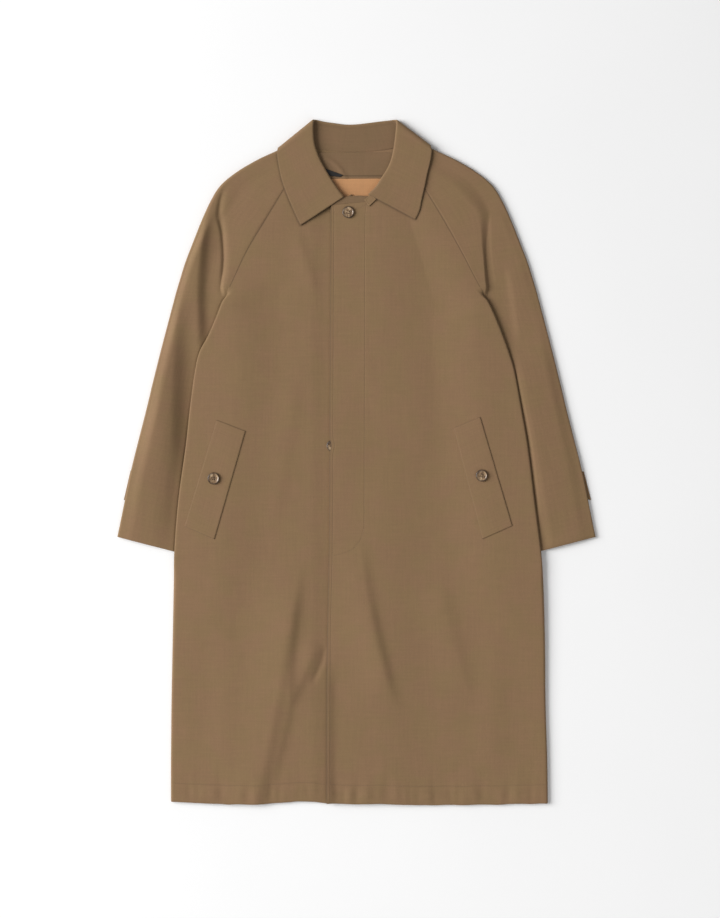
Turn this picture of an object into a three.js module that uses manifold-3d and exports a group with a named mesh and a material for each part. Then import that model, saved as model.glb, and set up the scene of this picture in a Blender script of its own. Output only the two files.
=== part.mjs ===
// A raglan overcoat with a fly front, laid flat on its back.
// Millimetres. X runs to the wearer's left, Y up to the collar, Z up from the surface it lies on.
// "right" and "left" are the wearer's, so the right side has negative x.
import * as THREE from 'three';
import { mergeVertices } from 'three/addons/utils/BufferGeometryUtils.js';
import Module from 'manifold-3d';

const wasm = await Module();
wasm.setup();

// Driving dimensions
const CLOTH = 1.5;                // wall of the coat's cloth with its lining
const HALF_CLOTH = CLOTH / 2;
const THIN_CLOTH = 1.0;           // wall of the lining, the label and the stand's small end
const SEAM = 0.2;                 // half of the space between two pieces at a seam
const LAYER_GAP = 0.5;            // space under a piece that lies on a panel
const FLOOR_LAYER = HALF_CLOTH;   // middle of a layer that lies on the surface
const NECK_LIFT = 2.1;            // how far the collar's back fall lifts the back panel
const SLEEVE_LIFT = 5.0;          // how far the tucked sleeve lifts the back panel
const FRONT_LAYER = 5.75;         // middle of the fronts where they lie lowest
const UNDERLAP_LAYER = 4.5;       // middle of the right front under the fly
const FACING_LAYER = 6.6;         // middle of the fly facing
const OVERLAP_LAYER = 8.7;        // middle of the left front over the fly
const TUCKED_SLEEVE = 3.25;       // middle of the sleeve's upper layer under the body
const OVERLAP_X = 32;             // how far the right front goes under the left one
const OVERLAP_START_X = 36;       // where the left front begins to come down from the fly
const OVERLAP_END_X = 140;        // where it has come down
const UNDERLAP_START_X = -80;     // where the right front begins to go down under the fly
const UNDERLAP_END_X = -50;       // where it has gone down
const FLY_BUTTON_RISE = 3.1;      // how far the fly button lifts the left front
const FLY_BUTTON_TOP = 13;        // how far from the button it stays lifted
const FLY_BUTTON_FOOT = 44;       // how far from the button the lift ends
const RIM_FLAT = 8;               // strip along the edge of a front that stays high
const RIM_SLOPE = 90;             // how wide the slope is on which a front comes down
const RIM_CALM = 0.6;             // how much lower folds are at the edge of a front
const TUCK_MARGIN = 16;           // how far past a tucked sleeve's edge the front stays high
const COLLAR_BACK_Y = 505;        // lower edge of the back fall on the middle line
const COLLAR_BACK_RISE = 26;      // how far that edge rises over the reach to each side
const COLLAR_BACK_REACH = 136;
const NECK_RAMP_START = 44;       // how far below that edge the back panel begins to rise
const NECK_RAMP_END = 16;         // how far below that edge it has risen
const ARMPIT_Y = 274;
const ARMPIT_RAMP = 26;           // height over which body and sleeve change places
const CUFF_Y = -172;              // lowest point of the tucked sleeve
const CUFF_RAMP = 30;
const STRIP_END_Y = -400;         // where the fronts no longer show the tucked sleeves
const BUTTON_RADIUS = 10.3;
const FLY_BUTTON_FLATTER = 0.78;  // the fly button is thinner than the others
const BACK_HEM_Y = -583;

const COAT_COLOUR = 0x886d51;
const LINING_COLOUR = 0xc49468;
const BUTTON_COLOUR = 0x6e5238;
const LABEL_COLOUR = 0x14110f;
const CLOTH_ROUGHNESS = 0.85;
const SATIN_ROUGHNESS = 0.6;
const HORN_ROUGHNESS = 0.35;

// Edge of the body from the middle line: raglan seam down to the armpit, then the side fold
const BODY_EDGE = [
  { y: 519, right: 96, left: 88 },
  { y: 500, right: 106, left: 98 },
  { y: 469, right: 124, left: 117 },
  { y: 416, right: 156, left: 149 },
  { y: 361, right: 189, left: 180 },
  { y: 315, right: 211, left: 204 },
  { y: 287, right: 224, left: 219 },
  { y: 274, right: 231, left: 227 },
  { y: 251, right: 240, left: 238 },
  { y: 216, right: 255, left: 252 },
  { y: 188, right: 270, left: 262 },
  { y: 159, right: 277, left: 271 },
  { y: 94, right: 286, left: 283 },
  { y: 30, right: 293, left: 294 },
  { y: -66, right: 306, left: 306 },
  { y: -154, right: 313, left: 317 },
  { y: -204, right: 314, left: 321 },
  { y: -307, right: 316, left: 324 },
  { y: -410, right: 318, left: 325 },
  { y: -513, right: 319, left: 328 },
  { y: -590, right: 319, left: 329 },
];

// Neck seam of the fronts, from the middle line
const NECK_EDGE = [
  { y: 519, right: 92.5, left: 84.5 },
  { y: 500, right: 87, left: 80 },
  { y: 481, right: 78, left: 77 },
  { y: 462, right: 64, left: 65 },
  { y: 450, right: 50, left: 50 },
];

// Closing edge of the left front
const FRONT_EDGE = [
  { y: 440, x: -44 },
  { y: 278, x: -45 },
  { y: 27, x: -46 },
  { y: -152, x: -47 },
  { y: -307, x: -50 },
  { y: -590, x: -51 },
];

// Hem height across the coat
const HEM = [
  { x: -320, y: -584 },
  { x: -180, y: -589 },
  { x: -97, y: -584 },
  { x: -51, y: -587 },
  { x: 75, y: -589 },
  { x: 195, y: -590 },
  { x: 330, y: -587 },
];

// Height of each front along its raglan seam and side fold
const RIM_HEIGHT = [
  { y: 519, right: 8.9, left: 8.9 },
  { y: 440, right: 8.0, left: 9.0 },
  { y: 380, right: 7.4, left: 9.0 },
  { y: 330, right: 7.4, left: 9.4 },
  { y: 300, right: 9.4, left: 10.2 },
  { y: 274, right: 11.0, left: 11.2 },
  { y: 200, right: 10.6, left: 10.8 },
  { y: 100, right: 10.2, left: 10.2 },
  { y: -120, right: 10.0, left: 10.0 },
  { y: -200, right: 9.3, left: 9.3 },
  { y: -400, right: 7.0, left: 7.0 },
  { y: -590, right: 6.4, left: 6.4 },
];

// Sleeve sections from neck to cuff, from the middle line: inner edge and outer fold.
// Down to the armpit the inner edge is the raglan seam.
const SLEEVE_SECTIONS = [
  { innerX: 96, innerY: 519, outerX: 105, outerY: 550 },
  { innerX: 106, innerY: 500, outerX: 137, outerY: 534 },
  { innerX: 117, innerY: 481, outerX: 171, outerY: 518 },
  { innerX: 128, innerY: 462, outerX: 205, outerY: 498 },
  { innerX: 141, innerY: 440, outerX: 233, outerY: 475 },
  { innerX: 156, innerY: 416, outerX: 250, outerY: 449 },
  { innerX: 172, innerY: 389, outerX: 267, outerY: 412 },
  { innerX: 189, innerY: 361, outerX: 282, outerY: 374 },
  { innerX: 204, innerY: 330, outerX: 294, outerY: 343 },
  { innerX: 217, innerY: 302, outerX: 304, outerY: 311 },
  { innerX: 224, innerY: 288, outerX: 310, outerY: 291 },
  { innerX: 231, innerY: 274, outerX: 315, outerY: 272 },
  { innerX: 229, innerY: 240, outerX: 324, outerY: 238 },
  { innerX: 230, innerY: 190, outerX: 336, outerY: 192 },
  { innerX: 232, innerY: 130, outerX: 349, outerY: 140 },
  { innerX: 237, innerY: 70, outerX: 361, outerY: 90 },
  { innerX: 243, innerY: 5, outerX: 375, outerY: 35 },
  { innerX: 249, innerY: -60, outerX: 389, outerY: -22 },
  { innerX: 255, innerY: -115, outerX: 400, outerY: -76 },
  { innerX: 261, innerY: -168, outerX: 411, outerY: -129 },
];
const RAGLAN_SECTIONS = 12;       // sections whose inner edge is sewn to the body

// Height of each sleeve's upper layer beside the body (arm) and at its outer fold (fold)
const SLEEVE_HEIGHT = {
  right: [
    { y: 519, arm: 8.8, fold: 8.8 },
    { y: 481, arm: 8.0, fold: 8.8 },
    { y: 440, arm: 7.2, fold: 9.6 },
    { y: 389, arm: 6.4, fold: 9.8 },
    { y: 330, arm: 6.2, fold: 8.8 },
    { y: 302, arm: 5.6, fold: 8.0 },
    { y: 274, arm: 4.2, fold: 7.6 },
    { y: 230, arm: 3.7, fold: 7.6 },
    { y: 130, arm: 3.7, fold: 9.6 },
    { y: 60, arm: 3.7, fold: 10.2 },
    { y: -60, arm: 3.7, fold: 9.0 },
    { y: -168, arm: 3.7, fold: 7.4 },
  ],
  left: [
    { y: 519, arm: 8.8, fold: 8.8 },
    { y: 481, arm: 7.4, fold: 7.4 },
    { y: 440, arm: 5.8, fold: 5.8 },
    { y: 389, arm: 5.2, fold: 5.2 },
    { y: 330, arm: 4.8, fold: 5.0 },
    { y: 274, arm: 4.0, fold: 5.0 },
    { y: -115, arm: 3.8, fold: 5.0 },
    { y: -168, arm: 3.8, fold: 4.8 },
  ],
};
const BACK_SEAM_SHIFT = new THREE.Vector2(24, 19);   // back raglan seam from the front one at the neck

// Line where a sleeve steps down beside the body, from the middle line
const STEP_LINE = [
  { y: 477, right: 222, left: 221, depth: 0 },
  { y: 427, right: 235, left: 219, depth: 0.4 },
  { y: 395, right: 229, left: 218, depth: 0.8 },
  { y: 350, right: 226, left: 222, depth: 1 },
  { y: 309, right: 230, left: 225, depth: 1 },
  { y: 276, right: 233, left: 229, depth: 1 },
];

// Collar sections along each side, from the front end to the fold behind the shoulder.
// roll is the turned edge, tip the free edge, neck the seam to the coat.
const RIGHT_COLLAR = [
  { rollX: -21, rollY: 455, tipX: -96, tipY: 406, neckX: -44, neckY: 450.2, fall: 11.6, edge: 8.8, stand: 5.6 },
  { rollX: -34, rollY: 472, tipX: -105, tipY: 425, neckX: -64, neckY: 462, fall: 11.4, edge: 9.8, stand: 6.4 },
  { rollX: -46, rollY: 490, tipX: -113, tipY: 443, neckX: -78, neckY: 481, fall: 11.5, edge: 10.8, stand: 7.6 },
  { rollX: -56, rollY: 507, tipX: -121, tipY: 463, neckX: -87, neckY: 500, fall: 11.7, edge: 11.2, stand: 8.6 },
  { rollX: -65, rollY: 525, tipX: -128, tipY: 483, neckX: -91, neckY: 520, fall: 12.0, edge: 11.6, stand: 9.0 },
  { rollX: -72, rollY: 547, tipX: -133, tipY: 506, neckX: -98.5, neckY: 534, fall: 12.0, edge: 11.8, stand: 9.0 },
  { rollX: -74, rollY: 568, tipX: -136, tipY: 526, neckX: -101.5, neckY: 543, fall: 12.0, edge: 12.0, stand: 9.0 },
];
const LEFT_COLLAR = [
  { rollX: 20, rollY: 459, tipX: 101, tipY: 416, neckX: 50, neckY: 450, fall: 12.4, edge: 9.4, stand: 8.8 },
  { rollX: 33, rollY: 472, tipX: 108, tipY: 431, neckX: 65, neckY: 462, fall: 12.2, edge: 10.4, stand: 8.6 },
  { rollX: 43, rollY: 488, tipX: 112, tipY: 451, neckX: 77, neckY: 481, fall: 12.0, edge: 11.4, stand: 8.8 },
  { rollX: 52, rollY: 502, tipX: 117, tipY: 473, neckX: 80, neckY: 500, fall: 12.0, edge: 12.0, stand: 9.0 },
  { rollX: 59, rollY: 518, tipX: 121, tipY: 493, neckX: 83, neckY: 520, fall: 12.0, edge: 12.2, stand: 9.0 },
  { rollX: 64, rollY: 541, tipX: 126, tipY: 513, neckX: 91, neckY: 534, fall: 12.0, edge: 12.2, stand: 9.0 },
  { rollX: 67, rollY: 566, tipX: 129, tipY: 532, neckX: 97, neckY: 543, fall: 12.0, edge: 12.0, stand: 9.0 },
];
// The stand runs on past the collar points to the ends of the fronts
const RIGHT_STAND_END = [
  { rollX: -8, rollY: 459, neckX: -14, neckY: 446, stand: 5.4 },
];
const LEFT_STAND_END = [
  { rollX: -42, rollY: 450, neckX: -44, neckY: 440, stand: 8.7 },
  { rollX: -20, rollY: 454, neckX: -20, neckY: 442.6, stand: 8.7 },
  { rollX: 0, rollY: 456, neckX: 0, neckY: 444.7, stand: 8.7 },
];
// Behind the neck the fall lies on the surface and the stand above it
const BACK_COLLAR = [
  { rollX: -56, rollY: 584.5, tipX: -106, tipY: 518, neckX: -84, neckY: 541 },
  { rollX: -38, rollY: 582, tipX: -72, tipY: 510, neckX: -56, neckY: 535.5 },
  { rollX: -18, rollY: 579.5, tipX: -34, tipY: 506, neckX: -27, neckY: 532.5 },
  { rollX: 0, rollY: 580, tipX: 0, tipY: 505, neckX: 0, neckY: 532 },
  { rollX: 18, rollY: 582, tipX: 34, tipY: 506, neckX: 27, neckY: 533 },
  { rollX: 36, rollY: 584.3, tipX: 70, tipY: 510, neckX: 53, neckY: 536.5 },
  { rollX: 54, rollY: 586.3, tipX: 102, tipY: 519, neckX: 78, neckY: 541.5 },
];
// Straight line of each fold over the shoulder
const RIGHT_FOLD = { rollX: -73.8, rollY: 588.7, tipX: -135, tipY: 539, neckX: -102, neckY: 546.6 };
const LEFT_FOLD = { rollX: 69, rollY: 588, tipX: 127, tipY: 544, neckX: 95, neckY: 546.6 };
const FALL_FOLD = { radius: 5.6, middle: 6.35 };
const STAND_FOLD = { radius: 3.1, middle: 5.95, inset: 5.6 };
const FOLD_STEPS = 4;

// Soft folds, each a crest that runs down a quadratic curve. before and beyond are the widths of
// its flanks at smaller and at larger x; open folds run out over the free edge below.
const FRONT_FOLDS = {
  right: [
    { from: [-108, 408], by: [-92, 350], to: [-66, 285], rise: 1.0, before: 16, beyond: 10 },
    { from: [-104, 160], by: [-112, 60], to: [-160, -150], rise: 1.0, before: 40, beyond: 18 },
    { from: [-96, -150], by: [-124, -340], to: [-176, -600], rise: 3.2, before: 55, beyond: 15, open: true },
    { from: [-58, -300], by: [-92, -360], to: [-122, -432], rise: 2.2, before: 22, beyond: 10 },
    { from: [-230, -210], by: [-222, -380], to: [-236, -560], rise: 1.2, before: 26, beyond: 26 },
  ],
  left: [
    { from: [98, 210], by: [112, 100], to: [100, -30], rise: 0.8, before: 34, beyond: 30 },
    { from: [4, -120], by: [16, -290], to: [74, -450], rise: 2.6, before: 42, beyond: 12 },
    { from: [138, -180], by: [152, -290], to: [198, -420], rise: 1.4, before: 32, beyond: 16 },
    { from: [236, -260], by: [240, -400], to: [232, -560], rise: 1.2, before: 26, beyond: 26 },
    { from: [-50, -320], by: [-51, -450], to: [-51, -600], rise: 2.6, before: 10, beyond: 10, open: true },
  ],
};
const SLEEVE_FOLDS = {
  right: [
    { from: [-246, 452], by: [-290, 350], to: [-268, 150], rise: 4.4, before: 45, beyond: 10 },
    { from: [-300, 300], by: [-332, 170], to: [-312, -60], rise: 4.2, before: 40, beyond: 17 },
    { from: [-318, 150], by: [-350, -20], to: [-352, -168], rise: 3.6, before: 80, beyond: 34, open: true },
  ],
  left: [
    { from: [262, 345], by: [274, 280], to: [284, 190], rise: 1.6, before: 8, beyond: 26 },
    { from: [268, 240], by: [308, 60], to: [343, -160], rise: 3.4, before: 17, beyond: 80, open: true },
  ],
};
const FADE_IN = 0.3;              // share of a fold over which it rises at its start
const FADE_OUT = 0.25;            // share over which it dies away at its end

// Pocket welts by their corners, upper inner corner first, and the buttons on them
const WELTS = [
  { name: 'pocket_welt_right', side: 'right', corners: [[-191, 52], [-240, 71], [-295, -111], [-244, -133]] },
  { name: 'pocket_welt_left', side: 'left', corners: [[167, 57], [212, 76], [267, -110], [216, -133]] },
];
const WELT_LAYER = CLOTH + LAYER_GAP;   // middle of a welt above the middle of its front

const NECK_BUTTON = { x: -14, y: 428 };
const FLY_BUTTON = { x: -41, y: 27 };
const RIGHT_WELT_BUTTON = { x: -245, y: -29 };
const LEFT_WELT_BUTTON = { x: 215, y: -24 };

// Cuff straps: corners on the surface under each sleeve, whose outer end stands out past the fold
const CUFF_STRAPS = [
  { name: 'cuff_strap_right', side: 'right', corners: [[-388.5, -16], [-350, -6], [-362, -56], [-400, -66]] },
  { name: 'cuff_strap_left', side: 'left', corners: [[391, -18], [350, -7], [362, -56], [403, -66]] },
];
const STRAP_LIFT = 2.1;           // how far a strap lifts the sleeve that lies on it
const STRAP_CENTRE = new THREE.Vector2(375, -36);
const STRAP_REACH = new THREE.Vector2(44, 50);   // half the area that is fully lifted
const STRAP_CLEAR = new THREE.Vector2(80, 78);   // half the area outside which nothing is lifted
const TURN_INSET = 4;             // how far in from the outer fold the lower layer's height is taken

const signOf = (side) => (side === 'right' ? -1 : 1);
const smoothstep = (low, high, value) => THREE.MathUtils.smoothstep(value, low, high);
const lerp = THREE.MathUtils.lerp;

// Reads a column of a table by its key column with a smooth curve through the rows
function read(table, column, at, key = 'y') {
  const last = table.length - 1;
  const order = Math.sign(table[last][key] - table[0][key]);
  if ((at - table[0][key]) * order <= 0) return table[0][column];
  if ((at - table[last][key]) * order >= 0) return table[last][column];
  let row = 0;
  while ((table[row + 1][key] - at) * order < 0) row += 1;
  const slope = (index) => {
    const before = table[Math.max(index - 1, 0)];
    const after = table[Math.min(index + 1, last)];
    return (after[column] - before[column]) / (after[key] - before[key]);
  };
  const span = table[row + 1][key] - table[row][key];
  const t = (at - table[row][key]) / span;
  const start = table[row][column];
  const end = table[row + 1][column];
  return (2 * t ** 3 - 3 * t ** 2 + 1) * start + (t ** 3 - 2 * t ** 2 + t) * span * slope(row)
    + (3 * t ** 2 - 2 * t ** 3) * end + (t ** 3 - t ** 2) * span * slope(row + 1);
}

const bodyEdge = (side, y) => signOf(side) * read(BODY_EDGE, side, y);

// Height that the soft folds add at a point: each falls away from its curve and at its ends
function foldHeight(folds, side, x, y) {
  let height = 0;
  for (const fold of folds[side]) {
    const [from, by, to] = [fold.from, fold.by, fold.to].map(([a, b]) => new THREE.Vector2(a, b));
    const points = new THREE.QuadraticBezierCurve(from, by, to).getPoints(12);
    let nearest = Infinity;
    let along = 0;
    let width = fold.before;
    for (let i = 0; i < points.length - 1; i += 1) {
      const step = points[i + 1].clone().sub(points[i]);
      const reach = new THREE.Vector2(x, y).sub(points[i]);
      const t = THREE.MathUtils.clamp(reach.dot(step) / step.lengthSq(), 0, 1);
      const turn = step.cross(reach);
      const distance = reach.sub(step.multiplyScalar(t)).length();
      if (distance < nearest) {
        nearest = distance;
        along = (i + t) / (points.length - 1);
        width = turn > 0 ? fold.beyond : fold.before;
      }
    }
    const end = fold.open ? 1 : 1 - smoothstep(1 - FADE_OUT, 1, along);
    height += fold.rise * smoothstep(0, FADE_IN, along) * end * Math.exp(-((nearest / width) ** 2));
  }
  return height;
}

// Inner edge of the sleeve where it is tucked under the body, from the middle line
function tuckedInner(y) {
  return read(SLEEVE_SECTIONS.slice(RAGLAN_SECTIONS - 1), 'innerX', y, 'innerY');
}

// Width of the strip along the edge of a front that stays high: over the tucked sleeve it covers it
function highStrip(side, y) {
  const tucked = Math.max(Math.abs(bodyEdge(side, y)) - tuckedInner(y) + TUCK_MARGIN, 0);
  const share = (1 - smoothstep(ARMPIT_Y - ARMPIT_RAMP, ARMPIT_Y, y)) * smoothstep(STRIP_END_Y, CUFF_Y, y);
  return lerp(RIM_FLAT, Math.max(tucked, RIM_FLAT), share);
}

// Middle height of a front at a point
function frontHeight(side, x, y) {
  const inside = (bodyEdge(side, y) - x) * signOf(side);
  const strip = highStrip(side, y);
  const rim = 1 - smoothstep(strip, strip + RIM_SLOPE, inside);
  const height = FRONT_LAYER + (read(RIM_HEIGHT, side, y) - FRONT_LAYER) * rim;
  const folds = foldHeight(FRONT_FOLDS, side, x, y) * (1 - rim * RIM_CALM);
  if (side === 'right') {
    return lerp(height + folds, UNDERLAP_LAYER, smoothstep(UNDERLAP_START_X, UNDERLAP_END_X, x));
  }
  const overlap = lerp(OVERLAP_LAYER, FRONT_LAYER, smoothstep(OVERLAP_START_X, OVERLAP_END_X, x));
  const fromButton = Math.hypot(x - FLY_BUTTON.x, y - FLY_BUTTON.y);
  const overButton = FLY_BUTTON_RISE * (1 - smoothstep(FLY_BUTTON_TOP, FLY_BUTTON_FOOT, fromButton));
  return Math.max(height, overlap) + overButton + folds;
}

// Lower edge of the collar's fall behind the neck
function collarBackEdge(x) {
  return COLLAR_BACK_Y + COLLAR_BACK_RISE * (x / COLLAR_BACK_REACH) ** 2;
}

// Middle height of the layer next to the surface at a point
function backHeight(x, y) {
  const edge = collarBackEdge(x);
  return FLOOR_LAYER + NECK_LIFT * smoothstep(edge - NECK_RAMP_START, edge - NECK_RAMP_END, y);
}

// A closed solid round a grid of middle points, half the thickness to each side
function sheet(grid, thickness) {
  const rows = grid.length;
  const columns = grid[0].length;
  const vertices = [];
  const at = (i, j) => grid[THREE.MathUtils.clamp(i, 0, rows - 1)][THREE.MathUtils.clamp(j, 0, columns - 1)];
  for (const half of [thickness / 2, -thickness / 2]) {
    for (let i = 0; i < rows; i += 1) {
      for (let j = 0; j < columns; j += 1) {
        const down = at(i + 1, j).clone().sub(at(i - 1, j));
        const across = at(i, j + 1).clone().sub(at(i, j - 1));
        const normal = down.cross(across).normalize();
        vertices.push(...at(i, j).clone().addScaledVector(normal, half).toArray());
      }
    }
  }
  const indices = [];
  const top = (i, j) => i * columns + j;
  const under = (i, j) => rows * columns + i * columns + j;
  for (let i = 0; i < rows - 1; i += 1) {
    for (let j = 0; j < columns - 1; j += 1) {
      indices.push(top(i, j), top(i + 1, j), top(i + 1, j + 1));
      indices.push(top(i, j), top(i + 1, j + 1), top(i, j + 1));
      indices.push(under(i, j), under(i + 1, j + 1), under(i + 1, j));
      indices.push(under(i, j), under(i, j + 1), under(i + 1, j + 1));
    }
  }
  const wall = (a, b) => {
    indices.push(top(...a), top(...b), under(...b));
    indices.push(top(...a), under(...b), under(...a));
  };
  for (let i = 0; i < rows - 1; i += 1) {
    wall([i + 1, 0], [i, 0]);
    wall([i, columns - 1], [i + 1, columns - 1]);
  }
  for (let j = 0; j < columns - 1; j += 1) {
    wall([0, j], [0, j + 1]);
    wall([rows - 1, j + 1], [rows - 1, j]);
  }
  const geometry = new THREE.BufferGeometry();
  geometry.setAttribute('position', new THREE.Float32BufferAttribute(vertices, 3));
  geometry.setIndex(indices);
  return geometry;
}

const RAGLAN_ROWS = SLEEVE_SECTIONS.slice(0, RAGLAN_SECTIONS).map((section) => section.innerY);
const SIDE_ROWS = [262, 250, 220, 180, 140, 95, 50, 27, 5, -40, -85, -130, -165, -180, -203];
const SKIRT_ROWS = [-240, -285, -330, -375, -420, -465, -510, -550];
const HEM_ROW = -588;
const NECK_ROW = 450;
const FRONT_COLUMNS = 17;
const WRAP_COLUMNS = 6;
const WRAP_TAIL = 3;              // flat strip beyond the half turn of a side fold
const FIRST_TURN = 0.4;         // share of the half turn that a side fold has where it begins
const SEAM_STRIP = 12;            // strip beside the raglan seam with columns of its own
const SEAM_STRIP_SHARE = 0.4;     // most of a narrow section that the strip takes
const RAGLAN_SHARES = [0, 0.03, 0.09, 0.2, 0.35, 0.5, 0.65, 0.8, 0.91, 0.97, 1];
const BACK_EDGE_SHARE = 0.05;     // share of the back's width that the side seam lifts
const BACK_COLUMNS = [-150, -75, 0, 75, 150];
const BACK_NECK_Y = 531.5;        // upper edge of the back panel on the middle line
const BACK_NECK_RISE = 6;         // how far that edge rises to its ends
const BACK_RAMP_INSET = 5;        // the ramp's middle, in from the tucked sleeve's edge
const BACK_RAMP_LEAST = 3;        // and at least this far in from the side seam
const BACK_RAMP_TOP = 2;          // where the ramp ends above, out from its middle
const BACK_RAMP_FOOT = 14;        // where it starts on the surface, in from its middle

// Height of the back panel where a side fold comes down on it
function sideSeamHeight(y) {
  const lift = smoothstep(-(ARMPIT_Y + ARMPIT_RAMP), -ARMPIT_Y, -y) * smoothstep(CUFF_Y - CUFF_RAMP, CUFF_Y, y);
  return FLOOR_LAYER + SLEEVE_LIFT * lift;
}

// How far a front is wrapped under at its side: 0 along the raglan seam, 1 below the armpit
const wrapAmount = (y) => smoothstep(-(ARMPIT_Y + ARMPIT_RAMP), -ARMPIT_Y, -y);

function sideRadius(side, y) {
  return (read(RIM_HEIGHT, side, y) - sideSeamHeight(y)) / 2;
}

// How far in from the body's edge the wrapped front ends and the back panel begins
const sideSeamInset = (side, y) => sideRadius(side, y) + HALF_CLOTH + WRAP_TAIL;

// One section of a front: from its inner edge out to the raglan seam, or round the side fold
function frontSection(side, y) {
  const sign = signOf(side);
  const outer = bodyEdge(side, y) - sign * SEAM;
  let inner = side === 'right' ? OVERLAP_X : read(FRONT_EDGE, 'x', y);
  if (y >= NECK_ROW) inner = sign * read(NECK_EDGE, side, y);
  const wrap = wrapAmount(y);
  const radius = sideRadius(side, y);
  const strip = Math.min(SEAM_STRIP, Math.abs(outer - inner) * SEAM_STRIP_SHARE);
  const fullAngle = Math.PI * lerp(FIRST_TURN, 1, wrap);
  const turn = fullAngle * radius + WRAP_TAIL * wrap;
  const start = outer - sign * lerp(strip, radius + HALF_CLOTH, wrap);
  const hem = (x) => (y === HEM_ROW ? read(HEM, 'y', x, 'x') : y);
  const points = [];
  for (let j = 0; j < FRONT_COLUMNS; j += 1) {
    const x = lerp(inner, start, j / FRONT_COLUMNS);
    points.push(new THREE.Vector3(x, hem(x), frontHeight(side, x, y)));
  }
  const height = frontHeight(side, start, y);
  const centre = height - radius;
  for (let k = 0; k <= WRAP_COLUMNS; k += 1) {
    const flatX = outer - sign * strip * (1 - k / WRAP_COLUMNS);
    const length = (turn * k) / WRAP_COLUMNS;
    const angle = Math.min(length / radius, fullAngle);
    const tail = Math.max(length - fullAngle * radius, 0);
    const turnedX = outer - sign * (radius + HALF_CLOTH) + sign * (radius * Math.sin(angle) - tail);
    const x = lerp(flatX, turnedX, wrap);
    const z = lerp(frontHeight(side, flatX, y), centre + radius * Math.cos(angle), wrap);
    points.push(new THREE.Vector3(x, hem(x), z));
  }
  return points;
}

function frontPanel(side) {
  const raglanRows = [...RAGLAN_ROWS, NECK_ROW].sort((a, b) => b - a);
  const rows = [...raglanRows, ...SIDE_ROWS, ...SKIRT_ROWS, HEM_ROW];
  return sheet(rows.map((y) => frontSection(side, y)), CLOTH);
}

// Back raglan seam of one sleeve section
function backSeam(side, section) {
  const towardsNeck = 1 - (519 - section.innerY) / (519 - ARMPIT_Y);
  const edge = Math.abs(bodyEdge(side, section.innerY));
  return new THREE.Vector2(
    signOf(side) * (edge - BACK_SEAM_SHIFT.x * towardsNeck),
    section.innerY + BACK_SEAM_SHIFT.y * towardsNeck,
  );
}

// Back panel: flat on the surface in the middle, lifted over the tucked sleeves at the sides
function backPanel() {
  const rows = [];
  const place = (x, y, edgeHeight) => new THREE.Vector3(x, y, Math.max(edgeHeight, backHeight(x, y)));
  for (const entry of SLEEVE_SECTIONS.slice(0, RAGLAN_SECTIONS)) {
    const [right, left] = ['right', 'left'].map((side) => {
      const inset = 2 * SEAM + wrapAmount(entry.innerY) * (sideSeamInset(side, entry.innerY) + SEAM);
      return backSeam(side, entry).sub(new THREE.Vector2(signOf(side) * inset, 0));
    });
    const atNeck = entry === SLEEVE_SECTIONS[0];
    rows.push(RAGLAN_SHARES.map((share) => {
      const y = atNeck ? BACK_NECK_Y + BACK_NECK_RISE * (2 * share - 1) ** 2 : right.y;
      const nearEdge = Math.min(share, 1 - share) < BACK_EDGE_SHARE;
      return place(lerp(right.x, left.x, share), y, nearEdge ? sideSeamHeight(entry.innerY) : 0);
    }));
  }
  for (const y of [...SIDE_ROWS, ...SKIRT_ROWS, BACK_HEM_Y]) {
    const edge = sideSeamHeight(y);
    const [right, left] = ['right', 'left'].map((side) => {
      const seam = bodyEdge(side, y) - signOf(side) * (sideSeamInset(side, y) + 4 * SEAM);
      const ramp = Math.min(tuckedInner(y) - BACK_RAMP_INSET, Math.abs(seam) - BACK_RAMP_LEAST);
      return [
        { x: seam, height: edge },
        { x: signOf(side) * (ramp + BACK_RAMP_TOP), height: edge },
        { x: signOf(side) * (ramp - BACK_RAMP_FOOT), height: 0 },
      ];
    });
    const middle = BACK_COLUMNS.map((x) => ({ x, height: 0 }));
    rows.push([...right, ...middle, ...left.reverse()].map(({ x, height }) => place(x, y, height)));
  }
  return sheet(rows, CLOTH);
}

// Share of a sleeve section, from its inner edge, at which it crosses the step line
function stepShare(side, section) {
  if (section.innerY > STEP_START_Y) return STEP_SHARE;
  const lineEnd = STEP_LINE[STEP_LINE.length - 1].y;
  const reach = (share) => {
    const y = lerp(section.innerY, section.outerY, share);
    const line = y > lineEnd ? read(STEP_LINE, side, y) : Math.abs(bodyEdge(side, y));
    return lerp(section.innerX, section.outerX, share) - line;
  };
  let low = 0;
  let high = 1;
  for (let i = 0; i < 20; i += 1) {
    const middle = (low + high) / 2;
    if (reach(middle) < 0) low = middle;
    else high = middle;
  }
  return THREE.MathUtils.clamp(low, LEAST_STEP_SHARE, MOST_STEP_SHARE);
}

// How far a cuff strap lifts the sleeve's lower layer
function strapLift(x, y) {
  const alongX = 1 - smoothstep(STRAP_REACH.x, STRAP_CLEAR.x, Math.abs(Math.abs(x) - STRAP_CENTRE.x));
  const alongY = 1 - smoothstep(STRAP_REACH.y, STRAP_CLEAR.y, Math.abs(y - STRAP_CENTRE.y));
  return STRAP_LIFT * alongX * alongY;
}

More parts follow.
